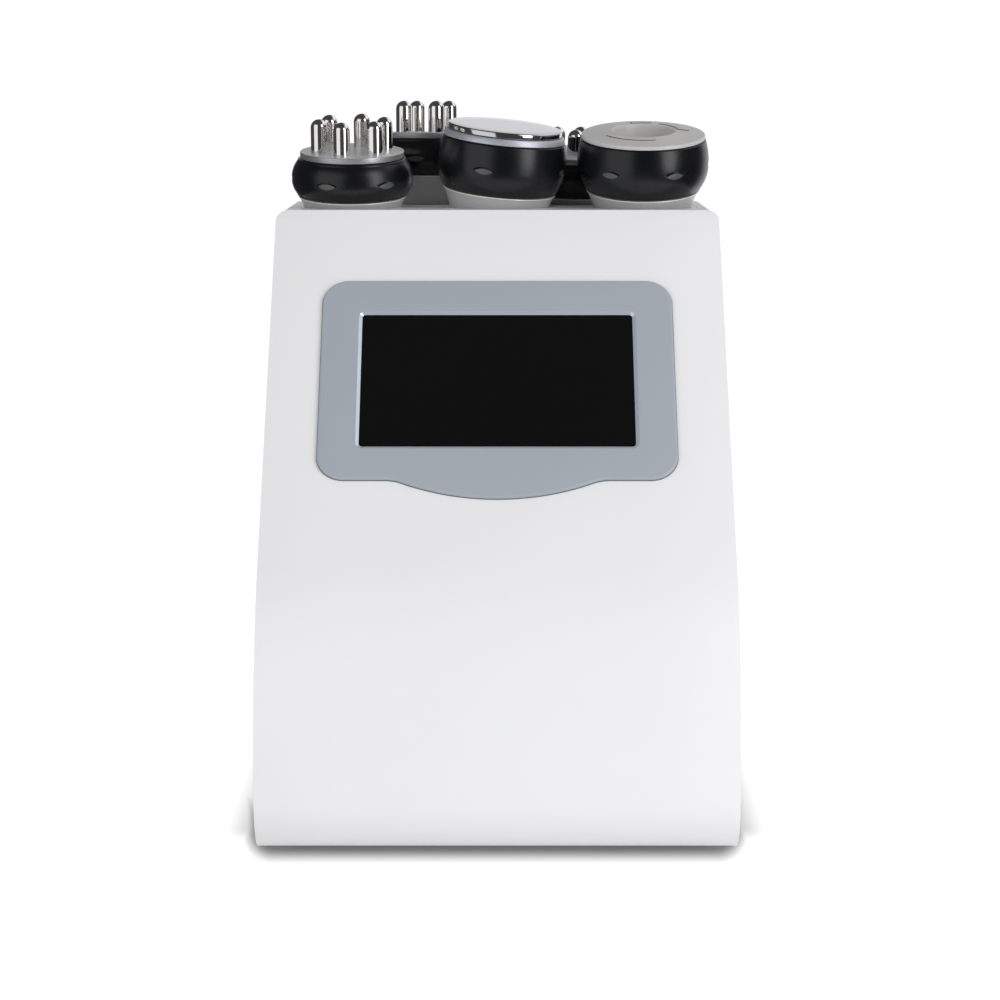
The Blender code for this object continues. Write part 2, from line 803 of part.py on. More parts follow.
def build_hand_piece(name, axis, collar, hollows, length, grip_finish, collar_finish, cord_finish):
    """Grip, collar and cord gland, which all hand pieces share."""
    foot, belly, brow, height, level = collar
    place(name + "_grip", turned(grip_profile(foot, height, length), round_steps), grip_finish, axis)
    ring = place(name + "_collar", turned(collar_profile(*collar), fine_steps), collar_finish, axis)
    shape(ring, "dimples", dimples(belly, level, *hollows), parent=axis)
    cone_length = (foot - shoulder_inset - neck_radius) / grip_cone_slope
    top = -cone_length - length - tail_length - 2 * gap
    place(name + "_cord_gland", turned(gland_profile(top), small_steps), cord_finish, axis)


def build_electrode_head(name, axis, height, count, ring, length, turn, finish):
    """A plate on the collar with a ring of round-nosed electrodes pressed into it."""
    low = height + gap
    top = low + plate_thickness
    profile = [(0.0, height / 2 + gap), (spigot_radius, height / 2 + gap), (spigot_radius, low),
               (plate_radius, low), (plate_radius, top - plate_round), (plate_radius - plate_round, top), (0.0, top)]
    head = place(name + "_head", turned(profile, fine_steps), finish, axis)
    electrodes = []
    nose = [(electrode_radius * math.cos(a), top + length - electrode_radius + electrode_radius * math.sin(a))
            for a in (0.0, math.radians(30), math.radians(60))]
    for step in range(count):
        around = turn + math.tau * step / count
        pin = [(0.0, top - electrode_seat), (electrode_radius, top - electrode_seat)] + nose + [(0.0, top + length)]
        electrodes.append(shifted(turned(pin, small_steps), ring * math.cos(around), ring * math.sin(around)))
    join(head, "electrodes", together(*electrodes), axis)


def build_cavitation_head(axis, ring_finish, metal):
    """A grey rim on the collar and a flat polished transducer face in it."""
    low = cavitation_height + gap
    top = low + rim_height
    foot = cavitation_brow - rim_inset
    bore = stem_radius + gap
    mid = cavitation_height / 2 + gap
    profile = [(bore, top), (bore, mid), (spigot_radius, mid), (spigot_radius, low), (foot, low),
               (foot, low + rim_inset), (rim_top_radius, top)]
    place("cavitation_rim", turned(profile, fine_steps), ring_finish, axis)
    face_low = top + gap
    face_top = face_low + transducer_height
    face = [(0.0, mid), (stem_radius, mid), (stem_radius, face_low), (transducer_radius, face_low),
            (transducer_radius, face_top - transducer_round), (transducer_radius - transducer_round, face_top),
            (0.0, face_top)]
    place("cavitation_transducer", turned(face, fine_steps), metal, axis)


def crown_height(radius):
    """Height over the collar of the vacuum crown's cone, which climbs from its edge to the lip of the mouth."""
    foot = vacuum_brow - rim_inset
    return crown_edge + (crown_rise - crown_edge) * (foot - radius) / (foot - crown_lip_radius)


def build_vacuum_head(axis, crown_finish, metal):
    """A crown with a suction cup in its middle, and a contact ring of three pads let into it round the mouth."""
    low = vacuum_height + gap
    foot = vacuum_brow - rim_inset
    mid = vacuum_height / 2 + gap
    floor = low + crown_rise - mouth_depth
    lip = (crown_lip_radius + mouth_radius) / 2
    inner, outer = contact_inner_radius, contact_outer_radius
    channel = low + crown_height(outer) - contact_depth
    profile = [(suction_hole_radius, floor), (suction_hole_radius, mid), (spigot_radius, mid), (spigot_radius, low),
               (foot, low), (foot, low + crown_edge), (outer + gap, low + crown_height(outer + gap)),
               (outer + gap, channel - gap), (inner - gap, channel - gap),
               (inner - gap, low + crown_height(inner - gap)), (crown_lip_radius, low + crown_rise),
               (lip, low + crown_rise + gap), (mouth_radius, low + crown_rise - collar_round),
               (mouth_floor_radius, floor + collar_round), (mouth_floor_radius - collar_round, floor)]
    place("vacuum_crown", turned(profile, fine_steps), crown_finish, axis)
    band = [(inner, channel), (outer, channel), (outer, low + crown_height(outer)),
            (inner, low + crown_height(inner))]
    ring = place("vacuum_contact_ring", turned(band, fine_steps), metal, axis)
    notches = []
    recess = low + crown_height(outer) - contact_notch
    notch = [(inner - gap, recess), (outer + gap, recess), (outer + gap, recess + overrun),
             (inner - gap, recess + overrun)]
    between = math.tau / contact_count - contact_sweep
    for step in range(contact_count):
        start = contact_turn + contact_sweep + math.tau * step / contact_count
        notches.append(sector(notch, start, between, 4))
    shape(ring, "notches", together(*notches), parent=axis)


def build_fan(dark, steel):
    """Frame, rotor and guard of the fan, in the axes of the rear panel."""
    middle = axes("fan_axis", (fan_across, fan_up, 0.0), parent=rear)
    inner = -sheet - gap - fan_depth
    frame = place("fan_frame", prism(rectangle(fan_size, fan_size, fan_corner_radius), inner, -sheet - gap),
                  dark, middle)
    shape(frame, "bore", cylinder(fan_bore_radius, inner - overrun, overrun, round_steps), parent=middle)
    hub_low = inner + fan_strut + fan_running_play
    axle_top = (hub_low - sheet - gap) / 2
    reach = 2 * fan_bore_radius + fan_strut
    join(frame, "upright", box(fan_strut_width, reach, fan_strut, (0.0, 0.0, inner)), middle)
    join(frame, "cross", box(reach, fan_strut_width, fan_strut, (0.0, 0.0, inner)), middle)
    boss = turned([(0.0, inner), (fan_hub_radius, inner), (fan_hub_radius, inner + fan_strut),
                   (fan_axle_radius, inner + fan_strut), (fan_axle_radius, axle_top), (0.0, axle_top)],
                  fitting_steps)
    join(frame, "boss", boss, middle)

    hub_top = -sheet - gap - fan_running_play
    bore = fan_axle_radius + gap
    hub = [(0.0, hub_top), (fan_hub_radius - fan_hub_round, hub_top), (fan_hub_radius, hub_top - fan_hub_round),
           (fan_hub_radius, hub_low), (bore, hub_low), (bore, axle_top + gap), (0.0, axle_top + gap)]
    rotor = place("fan_rotor", turned(hub, fitting_steps), dark, middle)
    blades = []
    root = fan_hub_radius - fan_blade_thickness
    sweep = fan_bore_radius * math.cos(math.pi / round_steps) - fan_tip_play
    tip = math.sqrt(sweep ** 2 - (fan_blade_chord / 2) ** 2)
    for step in range(fan_blade_count):
        blade = bmesh.new()
        ends = []
        for radius, pitch in ((root, fan_root_pitch), (tip, fan_tip_pitch)):
            along = Vector((0.0, math.cos(pitch), math.sin(pitch))) * fan_blade_chord / 2
            thick = Vector((0.0, -math.sin(pitch), math.cos(pitch))) * fan_blade_thickness / 2
            centre = Vector((radius, 0.0, (hub_low + hub_top) / 2))
            ends.append([blade.verts.new(centre + one * along + two * thick)
                         for one, two in ((-1, -1), (1, -1), (1, 1), (-1, 1))])
        for item in range(4):
            following = (item + 1) % 4
            blade.faces.new((ends[0][item], ends[0][following], ends[1][following], ends[1][item]))
        blade.faces.new(ends[0])
        blade.faces.new(ends[1])
        blades.append(moved(blade, Matrix.Rotation(math.tau * step / fan_blade_count, 4, "Z")))
    join(rotor, "blades", together(*blades), middle)

    low, high = gap, gap + guard_thickness
    rings = []
    spacing = (guard_outer_radius - guard_hub_radius) / guard_ring_count
    for step in range(1, guard_ring_count + 1):
        outer = guard_hub_radius + spacing * step
        inside = outer - guard_ring_width
        rings.append(turned([(inside, high), (inside, low), (outer, low), (outer, high)], round_steps))
    guard = place("fan_guard", rings.pop(), steel, middle)
    join(guard, "rings", together(*rings, cylinder(guard_hub_radius, low, high)), middle)
    for name, turn in (("bar", math.pi / 4), ("bar_across", -math.pi / 4)):
        bar = box(2 * guard_outer_radius - guard_ring_width, guard_bar_width, guard_thickness, (0.0, 0.0, low))
        join(guard, name, moved(bar, Matrix.Rotation(turn, 4, "Z")), middle)
    return shifted(cylinder(fan_bore_radius, -sheet - overrun, overrun, round_steps), fan_across, fan_up)


def build_inlet(dark, steel):
    """Mains inlet: a flanged body with a recess for the plug and three flat pins in it."""
    middle = axes("inlet_axis", (inlet_across, inlet_up, 0.0), parent=rear)
    top = gap + inlet_flange
    inlet = place("mains_inlet", prism(rectangle(inlet_flange_width, inlet_flange_height, inlet_pin_width, 3),
                                       gap, top), dark, middle)
    body = prism(rectangle(inlet_body_width, inlet_body_height), -inlet_body_depth, top - gap)
    join(inlet, "body", body, middle)
    wide, tall = inlet_mouth_width / 2, inlet_mouth_height / 2
    mouth = [(-wide, -tall), (wide, -tall), (wide, tall - inlet_corner_cut), (wide - inlet_corner_cut, tall),
             (inlet_corner_cut - wide, tall), (-wide, tall - inlet_corner_cut)]
    floor = top - inlet_mouth_depth
    shape(inlet, "mouth", prism(mouth, floor, top + overrun), parent=middle)
    pins = []
    for across, up in ((-inlet_pin_pitch, 0.0), (0.0, inlet_earth_lift), (inlet_pin_pitch, 0.0)):
        pins.append(box(inlet_pin_width, inlet_pin_height, inlet_pin_length + gap, (across, up, floor - gap)))
    join(inlet, "pins", together(*pins), middle)
    hole = prism(rectangle(inlet_body_width + 2 * gap, inlet_body_height + 2 * gap), -sheet - overrun, overrun)
    return shifted(hole, inlet_across, inlet_up)


def build_switch(dark):
    """Power switch: a flanged body and a rocker on a cross pivot at the level of the rear panel."""
    middle = axes("switch_axis", (switch_across, switch_up, 0.0), parent=rear)
    top = gap + switch_flange
    body = place("switch_body", prism(rectangle(switch_flange_width, switch_flange_height), gap, top), dark, middle)
    join(body, "shell", prism(rectangle(switch_body_width, switch_body_height), -switch_body_depth, top - gap),
         middle)
    reach = math.hypot(rocker_radius, rocker_crest)
    well_height = 2 * (reach + rocker_play)
    well = prism(rectangle(rocker_width + 2 * gap, well_height), -reach - rocker_play, top + overrun)
    shape(body, "well", well, parent=middle)
    pivot = axes("rocker_axis", (0.0, 0.0, 0.0), (-rocker_tilt, 0.0, 0.0), middle)
    edge = math.atan2(rocker_crest, rocker_radius)
    outline = arc((0.0, 0.0), reach, math.pi - edge, math.tau + edge, 12) + [(0.0, rocker_dip)]
    sideways = Matrix(((0, 0, 1, 0), (1, 0, 0, 0), (0, 1, 0, 0), (0, 0, 0, 1)))
    place("switch_rocker", moved(prism(outline, -rocker_width / 2, rocker_width / 2), sideways), dark, pivot)
    hole = prism(rectangle(switch_body_width + 2 * gap, switch_body_height + 2 * gap), -sheet - overrun, overrun)
    return shifted(hole, switch_across, switch_up)


def build_fuse(dark):
    """Fuse holder with a bayonet cap that a screwdriver turns."""
    middle = axes("fuse_axis", (fuse_across, fuse_up, 0.0), parent=rear)
    bore = fuse_cap_radius + gap
    top = gap + fuse_flange
    floor = top - fuse_cap_depth - gap
    profile = [(0.0, floor), (bore, floor), (bore, top), (fuse_flange_radius, top), (fuse_flange_radius, gap),
               (fuse_body_radius, gap), (fuse_body_radius, -fuse_body_depth), (0.0, -fuse_body_depth)]
    place("fuse_holder", turned(profile, fitting_steps), dark, middle)
    head = top + fuse_cap_proud
    cap = place("fuse_cap", cylinder(fuse_cap_radius, floor + gap, head), dark, middle)
    slot = box(2 * fuse_cap_radius + overrun, fuse_slot_width, fuse_slot_depth + overrun,
               (0.0, 0.0, head - fuse_slot_depth))
    shape(cap, "slot", slot, parent=middle)
    return shifted(cylinder(fuse_body_radius + gap, -sheet - overrun, overrun), fuse_across, fuse_up)


def build_port(steel):
    """Barbed connector for the suction hose."""
    middle = axes("port_axis", (port_across, port_up, 0.0), parent=rear)
    top = gap + port_flange
    barb = (port_reach - top) / port_barb_count
    profile = [(port_bore_radius, port_reach), (port_bore_radius, -port_thread_depth),
               (port_thread_radius, -port_thread_depth), (port_thread_radius, gap), (port_flange_radius, gap),
               (port_flange_radius, top)]
    for step in range(port_barb_count):
        foot = top + barb * step
        profile += [(port_radius, foot), (port_radius + port_barb, foot + barb * port_lead_share),
                    (port_radius, foot + barb)]
    place("vacuum_port", turned(profile, small_steps), steel, middle)
    return shifted(cylinder(port_thread_radius + gap, -sheet - overrun, overrun), port_across, port_up)


def build_sockets(steel):
    """Row of round sockets for the leads of the hand pieces."""
    holes = []
    top = gap + socket_flange
    nose = top + socket_nose
    floor = nose - socket_bore_depth
    up = panel_height - socket_below_top
    names = ("sextupolar", "quadrupolar", "cavitation", "tripolar", "vacuum")
    for step, name in enumerate(names):
        across = socket_pitch * ((len(names) - 1) / 2 - step)
        middle = axes(name + "_socket_axis", (across, up, 0.0), parent=rear)
        profile = [(0.0, floor), (socket_bore_radius, floor), (socket_bore_radius, nose),
                   (socket_nose_radius, nose), (socket_nose_radius, top), (socket_flange_radius, top),
                   (socket_flange_radius, gap), (socket_tail_radius, gap), (socket_tail_radius, -socket_tail),
                   (0.0, -socket_tail)]
        place(name + "_socket", turned(profile, fitting_steps), steel, middle)
        holes.append(shifted(cylinder(socket_tail_radius + gap, -sheet - overrun, overrun), across, up))
    return holes


def build_rear(white, dark, steel):
    """Rear panel and everything mounted in it."""
    panel = prism(rectangle(2 * half_inside, panel_height), -sheet, 0.0)
    back_panel = place("rear_panel", shifted(panel, 0.0, panel_height / 2), white, rear)
    holes = [build_fan(dark, steel), build_inlet(dark, steel), build_switch(dark), build_fuse(dark),
             build_port(steel)] + build_sockets(steel)
    shape(back_panel, "holes", together(*holes), parent=rear)


def build_inside(green, metal, dark):
    """Power supply, generator board with its heat sink, and the vacuum pump, on the base plate."""
    floor = floor_gap + skin + gap
    supply_low = rear_face - supply_from_rear - supply_length / 2
    supply = [(supply_low, floor), (supply_low + supply_length, floor),
              (supply_low + supply_length, floor + supply_shelf_height),
              (supply_low + supply_length - supply_shelf_length, floor + supply_shelf_height),
              (supply_low + supply_length - supply_shelf_length, floor + supply_height),
              (supply_low, floor + supply_height)]
    place("power_supply", across_case(supply, supply_across + supply_width / 2, supply_across - supply_width / 2),
          metal)

    board_low = floor_gap + skin + stud_height + gap
    middle = (generator_across, front_y + rear_face - generator_from_rear, board_low)
    board = place("generator_board", box(generator_width, generator_length, board_thickness, middle), green)
    pitch = (sink_width - sink_fin) / (sink_fin_count - 1)
    comb = [(sink_width / 2, 0.0), (sink_width / 2, sink_height)]
    for step in range(sink_fin_count - 1):
        fin = sink_width / 2 - pitch * step
        comb += [(fin - sink_fin, sink_height), (fin - sink_fin, sink_base), (fin - pitch, sink_base),
                 (fin - pitch, sink_height)]
    comb += [(-sink_width / 2, sink_height), (-sink_width / 2, 0.0)]
    upright = Matrix(((1, 0, 0, middle[0]), (0, 0, 1, middle[1]), (0, 1, 0, board_low + board_thickness - gap),
                      (0, 0, 0, 1)))
    join(board, "heat_sink", moved(prism(comb, -sink_length / 2, sink_length / 2), upright))

    along = Matrix(((0, 0, 1, pump_across), (1, 0, 0, front_y + pump_back), (0, 1, 0, floor + pump_head_size / 2),
                    (0, 0, 0, 1)))
    pump = place("vacuum_pump", moved(prism(rectangle(pump_head_size, pump_head_size), 0.0, pump_head_length),
                                      along), dark)
    join(pump, "motor", moved(cylinder(pump_motor_radius, -pump_motor_length, gap), along))
    nozzle = cylinder(pump_nozzle_radius, pump_head_length - gap, pump_head_length + pump_nozzle_length, small_steps)
    join(pump, "nozzle", moved(nozzle, along))


clear_scene()
screen = axes("slope_axes", (0.0, front_y + top_back, case_height), (math.pi / 2 - lean, 0.0, 0.0))
rear = axes("rear_axes", (0.0, front_y + rear_face, wall_bottom), (math.pi / 2, 0.0, math.pi))

case_white = material("case_white", (0.86, 0.86, 0.87), 0.35)
bezel_grey = material("bezel_grey", (0.35, 0.38, 0.42), 0.35)
screen_black = material("screen_black", (0.01, 0.01, 0.01), 0.08)
collar_black = material("collar_black", (0.015, 0.016, 0.018), 0.42)
grip_grey = material("grip_grey", (0.42, 0.42, 0.44), 0.38)
crown_grey = material("crown_grey", (0.52, 0.51, 0.49), 0.4)
plate_silver = material("plate_silver", (0.34, 0.34, 0.36), 0.35, 0.8)
chrome = material("chrome", (0.8, 0.8, 0.8), 0.08, 1.0)
rubber_black = material("rubber_black", (0.02, 0.02, 0.02), 0.7)
plastic_black = material("plastic_black", (0.03, 0.03, 0.03), 0.45)
nickel = material("nickel", (0.6, 0.6, 0.6), 0.3, 1.0)
board_green = material("board_green", (0.03, 0.15, 0.06), 0.5)
zinc = material("zinc", (0.5, 0.5, 0.52), 0.4, 0.9)

build_case(case_white, rubber_black)
top_deck = build_deck(case_white)
build_screen(bezel_grey, screen_black, plastic_black, board_green, zinc)
build_rear(case_white, plastic_black, nickel)
build_inside(board_green, zinc, plastic_black)

sextupolar_collar = (rf_foot, rf_belly, rf_brow, sextupolar_height, rf_level)
quadrupolar_collar = (rf_foot, rf_belly, rf_brow, quadrupolar_height, rf_level)
tripolar_collar = (rf_foot, rf_belly, rf_brow, tripolar_height, rf_level)
cavitation_collar = (cavitation_foot, cavitation_belly, cavitation_brow, cavitation_height, cavitation_level)
vacuum_collar = (vacuum_foot, vacuum_belly, vacuum_brow, vacuum_height, vacuum_level)
hand_pieces = (
    ("sextupolar", -front_spacing, front_row, sextupolar_lean, 0.0, sextupolar_rise, sextupolar_collar,
     (dimple_count, sextupolar_dimple_turn), grip_length),
    ("cavitation", 0.0, front_row, cavitation_lean, cavitation_tilt, cavitation_rise, cavitation_collar,
     (cavitation_dimple_count, cavitation_dimple_turn), grip_length),
    ("vacuum", front_spacing, front_row, vacuum_lean, 0.0, vacuum_rise, vacuum_collar,
     (dimple_count, vacuum_dimple_turn), vacuum_grip_length),
    ("quadrupolar", -back_spacing, back_row, 0.0, 0.0, quadrupolar_rise, quadrupolar_collar,
     (dimple_count, quadrupolar_dimple_turn), grip_length),
    ("tripolar", back_spacing, back_row, tripolar_lean, tripolar_tilt, tripolar_rise, tripolar_collar,
     (dimple_count, tripolar_dimple_turn), grip_length),
)
axis_of = {}
for piece, across, back, forward, tilt, rise, collar, hollows, length in hand_pieces:
    places = stand(piece, across, back, forward, tilt, rise)
    axis_of[piece] = places[1]
    build_cup(piece, top_deck, places, collar[0], rise, case_white)
    build_hand_piece(piece, places[1], collar, hollows, length, grip_grey, collar_black, rubber_black)
electrode_heads = (
    ("sextupolar", sextupolar_height, sextupolar_count, sextupolar_ring, sextupolar_length, sextupolar_turn),
    ("quadrupolar", quadrupolar_height, quadrupolar_count, quadrupolar_ring, quadrupolar_length,
     quadrupolar_turn),
    ("tripolar", tripolar_height, tripolar_count, tripolar_ring, tripolar_length, tripolar_turn),
)
for piece, *sizes in electrode_heads:
    build_electrode_head(piece, axis_of[piece], *sizes, plate_silver)
build_cavitation_head(axis_of["cavitation"], plate_silver, chrome)
build_vacuum_head(axis_of["vacuum"], crown_grey, crown_grey)
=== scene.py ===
"""The looks of a tabletop body-care machine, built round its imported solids. Metres, +Z up, front at -Y."""

import math

import bmesh
import bpy
from mathutils import Euler, Matrix, Vector


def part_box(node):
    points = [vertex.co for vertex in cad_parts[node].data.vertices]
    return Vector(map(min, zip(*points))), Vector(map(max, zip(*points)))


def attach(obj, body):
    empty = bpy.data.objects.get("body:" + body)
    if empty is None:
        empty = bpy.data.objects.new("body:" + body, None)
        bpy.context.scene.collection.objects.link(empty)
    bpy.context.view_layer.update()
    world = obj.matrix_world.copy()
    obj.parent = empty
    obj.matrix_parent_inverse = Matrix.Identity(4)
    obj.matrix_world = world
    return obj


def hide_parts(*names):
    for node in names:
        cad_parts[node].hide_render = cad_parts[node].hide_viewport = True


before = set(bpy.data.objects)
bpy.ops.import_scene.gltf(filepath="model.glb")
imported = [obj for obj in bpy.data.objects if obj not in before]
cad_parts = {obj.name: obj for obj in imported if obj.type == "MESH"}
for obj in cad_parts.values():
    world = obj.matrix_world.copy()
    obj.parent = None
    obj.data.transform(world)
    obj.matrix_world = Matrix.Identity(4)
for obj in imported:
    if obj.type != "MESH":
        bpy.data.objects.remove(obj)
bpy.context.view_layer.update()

scene = bpy.context.scene
scene.view_settings.view_transform = "Standard"

# The studio. The camera looks straight at the machine from a little above. Two broad soft lamps stand at
# the front corners of a dim room, and the table and the wall behind are white.
view_pitch = math.radians(8.11)
view_place = (0.0015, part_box("front_panel")[0].y - 1.4558, 0.4071)
view_lens = 100.8
# side: place, width, height and power of the lamp
lamps = {"left": ((-1.08, -1.06, 0.45), 1.5, 1.9, 8.2), "right": ((1.14, -1.02, 0.66), 0.6, 1.7, 13.6)}
lamp_tint = (0.98, 0.98, 1.0)
lamp_target = Vector((0.0, 0.0, 0.25))
room_light = 0.60
room_tint = (0.975, 0.97, 1.0)
room_gloss = 0.06
white_level = 1.05
# Bearings from +Y of the white wall's edges, and the sines of elevation where it fades
wall_edges = ((-0.35, -0.20), (1.0, 0.80))
wall_fade = (0.75, 0.0)
# The same of a second white screen, high up at the right
screen_edges = ((0.15, 0.45), (1.9, 1.5))
screen_rise = ((0.35, 0.50), (0.90, 0.75))
# The table's shade is the darker of a patch under the case (its middle, half size and width of fade) and a
# halo, which widens to the back, is squashed across, has round corners and fades between two y values.
patch = ((0.0, 0.036), (0.118, 0.126), 0.045)
halo_front, halo_half, halo_widening, halo_squash, halo_corner = -0.1325, 0.1308, 0.075, 3.8, 0.032
halo_middle = -0.001
halo_back = (-0.10, 0.03)
shade_floor = 0.08
table_colour, table_seen = 0.80, 0.20
table_glow = 0.16
table_shine = 0.25
table_radius = 0.62

camera = bpy.data.objects.new("camera", bpy.data.cameras.new("camera"))
camera.data.sensor_fit = "HORIZONTAL"
camera.data.sensor_width = 36
camera.data.lens = view_lens
camera.location = view_place
camera.rotation_euler = (math.pi / 2 - view_pitch, 0, 0)
scene.collection.objects.link(camera)
scene.camera = camera

for side, (place, width, height, power) in lamps.items():
    lamp = bpy.data.lights.new("lamp_" + side, "AREA")
    lamp.shape = "RECTANGLE"
    lamp.size = width
    lamp.size_y = height
    lamp.energy = power
    lamp.color = lamp_tint
    holder = bpy.data.objects.new("lamp_" + side, lamp)
    holder.location = place
    holder.rotation_euler = (lamp_target - Vector(place)).to_track_quat("-Z", "Y").to_euler()
    holder.visible_camera = False
    scene.collection.objects.link(holder)


def put(tree, value, socket):
    """Gives an input socket a constant, or links it to an output socket."""
    if isinstance(value, bpy.types.NodeSocket):
        tree.links.new(value, socket)
    else:
        socket.default_value = value


def sum_node(tree, operation, *values):
    """The output of a Math node that works on constants or sockets."""
    node = tree.nodes.new("ShaderNodeMath")
    node.operation = operation
    for value, socket in zip(values, node.inputs):
        put(tree, value, socket)
    return node.outputs[0]


def fade(tree, value, start, end, low=0.0, high=1.0, kind="SMOOTHSTEP"):
    """A socket that goes from low to high as value goes from start to end."""
    node = tree.nodes.new("ShaderNodeMapRange")
    node.interpolation_type = kind
    sockets = ("Value", "From Min", "From Max", "To Min", "To Max")
    for name, item in zip(sockets, (value, start, end, low, high)):
        put(tree, item, node.inputs[name])
    return node.outputs[0]


def seen_mask(tree):
    """A socket that is 1 for camera, glossy and transmission rays."""
    path = tree.nodes.new("ShaderNodeLightPath")
    either = sum_node(tree, "MAXIMUM", path.outputs["Is Camera Ray"], path.outputs["Is Glossy Ray"])
    return sum_node(tree, "MAXIMUM", either, path.outputs["Is Transmission Ray"])


studio = bpy.data.worlds.new("studio")
scene.world = studio
studio.use_nodes = True
tree = studio.node_tree
tree.nodes.clear()
split = tree.nodes.new("ShaderNodeSeparateXYZ")
put(tree, tree.nodes.new("ShaderNodeTexCoord").outputs["Generated"], split.inputs[0])
bearing = sum_node(tree, "ARCTAN2", split.outputs["X"], split.outputs["Y"])
wall = fade(tree, split.outputs["Z"], *wall_fade)
for edge in wall_edges:
    wall = sum_node(tree, "MULTIPLY", wall, fade(tree, bearing, *edge))
screen = 1.0
for value, edges in ((bearing, screen_edges), (split.outputs["Z"], screen_rise)):
    for edge in edges:
        screen = sum_node(tree, "MULTIPLY", fade(tree, value, *edge), screen)
gloss = sum_node(tree, "ADD", sum_node(tree, "MAXIMUM", wall, screen), room_gloss)
direct = sum_node(tree, "MULTIPLY", tree.nodes.new("ShaderNodeLightPath").outputs["Is Camera Ray"], white_level)
light = tree.nodes.new("ShaderNodeBackground")
light.inputs["Strength"].default_value = room_light
seen = tree.nodes.new("ShaderNodeBackground")
seen.inputs["Color"].default_value = (*room_tint, 1)
put(tree, sum_node(tree, "MAXIMUM", gloss, direct), seen.inputs["Strength"])
blend = tree.nodes.new("ShaderNodeMixShader")
put(tree, seen_mask(tree), blend.inputs[0])
put(tree, light.outputs[0], blend.inputs[1])
put(tree, seen.outputs[0], blend.inputs[2])
put(tree, blend.outputs[0], tree.nodes.new("ShaderNodeOutputWorld").inputs[0])

table_bm = bmesh.new()
bmesh.ops.create_circle(table_bm, cap_ends=True, segments=96, radius=table_radius)
table_mesh = bpy.data.meshes.new("table")
table_bm.to_mesh(table_mesh)
table_bm.free()
table = bpy.data.objects.new("table", table_mesh)
scene.collection.objects.link(table)
paper = bpy.data.materials.new("white_table")
paper.use_nodes = True
tree = paper.node_tree
sheet = tree.nodes["Principled BSDF"]
sheet.inputs["Roughness"].default_value = 0.9
sheet.inputs["Specular IOR Level"].default_value = 0.1
sheet.inputs["Emission Color"].default_value = (1, 1, 1, 1)
split = tree.nodes.new("ShaderNodeSeparateXYZ")
put(tree, tree.nodes.new("ShaderNodeTexCoord").outputs["Object"], split.inputs[0])


def outside_by(*overs):
    """How far a point of the table lies outside a shape, from how far it does so along each axis."""
    squares = [sum_node(tree, "POWER", sum_node(tree, "MAXIMUM", over, 0.0), 2.0) for over in overs]
    return sum_node(tree, "SQRT", sum_node(tree, "ADD", *squares))


def off_middle(axis, middle):
    return sum_node(tree, "ABSOLUTE", sum_node(tree, "SUBTRACT", split.outputs[axis], middle))


distance = outside_by(*(sum_node(tree, "SUBTRACT", off_middle(axis, middle), half)
                        for axis, middle, half in zip("XY", *patch[:2])))
half = sum_node(tree, "MULTIPLY_ADD", sum_node(tree, "SUBTRACT", split.outputs["Y"], halo_front), halo_widening,
                halo_half)
side = sum_node(tree, "SUBTRACT", off_middle("X", halo_middle), half)
ahead = sum_node(tree, "SUBTRACT", halo_front + halo_corner, split.outputs["Y"])
outside = outside_by(sum_node(tree, "MULTIPLY_ADD", side, halo_squash, halo_corner), ahead)
outside = sum_node(tree, "SUBTRACT", outside, halo_corner)
halo = sum_node(tree, "MAXIMUM", fade(tree, outside, 0.0, patch[2]), fade(tree, split.outputs["Y"], *halo_back))
shade = sum_node(tree, "MINIMUM", fade(tree, distance, 0.0, patch[2]), halo)
mask = seen_mask(tree)
rays = tree.nodes.new("ShaderNodeLightPath")
level = sum_node(tree, "MULTIPLY_ADD", rays.outputs["Is Glossy Ray"], table_shine - 1.0, mask)
shown = sum_node(tree, "MULTIPLY", sum_node(tree, "MULTIPLY_ADD", shade, 1.0 - shade_floor, shade_floor), level)
put(tree, sum_node(tree, "MULTIPLY_ADD", rays.outputs["Is Camera Ray"], table_seen - table_colour,
                   table_colour), sheet.inputs["Base Color"])
bounced = sum_node(tree, "MULTIPLY", sum_node(tree, "SUBTRACT", 1.0, mask), table_glow)
put(tree, sum_node(tree, "ADD", shown, bounced), sheet.inputs["Emission Strength"])
table_mesh.materials.append(paper)

# The front cover. One sheet of steel, folded in a smooth curve from the tuck under the machine, round
# the toe and the belly and up the slope, with rounded corners and satin white powder coat.
cover_low, cover_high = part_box("front_panel")
front_y, case_top, half_case = cover_low.y, cover_high.z, cover_high.x
floor_gap = cover_low.z
lean = math.radians(40)
roll_radius = 0.030
tuck_length = 0.005
toe_height = 0.0127
belly_radius = 0.165
skin = 0.003
skin_corner = 0.0075
edge_round = 0.0007
gap = 0.0003
belly_start = floor_gap + roll_radius + toe_height
slope_foot = belly_start + belly_radius * math.sin(lean)
slope_length = (case_top - slope_foot) / math.cos(lean)
strip_length = tuck_length + roll_radius * math.pi / 2 + toe_height + belly_radius * lean + slope_length
top_back = belly_radius * (1 - math.cos(lean)) + slope_length * math.sin(lean)
window_width, window_length, window_below_top = 0.1546, 0.0900, 0.1215
opening_margin = 0.0058
weld, node_weld = 0.000002, 0.000005
grain_height = 0.0002


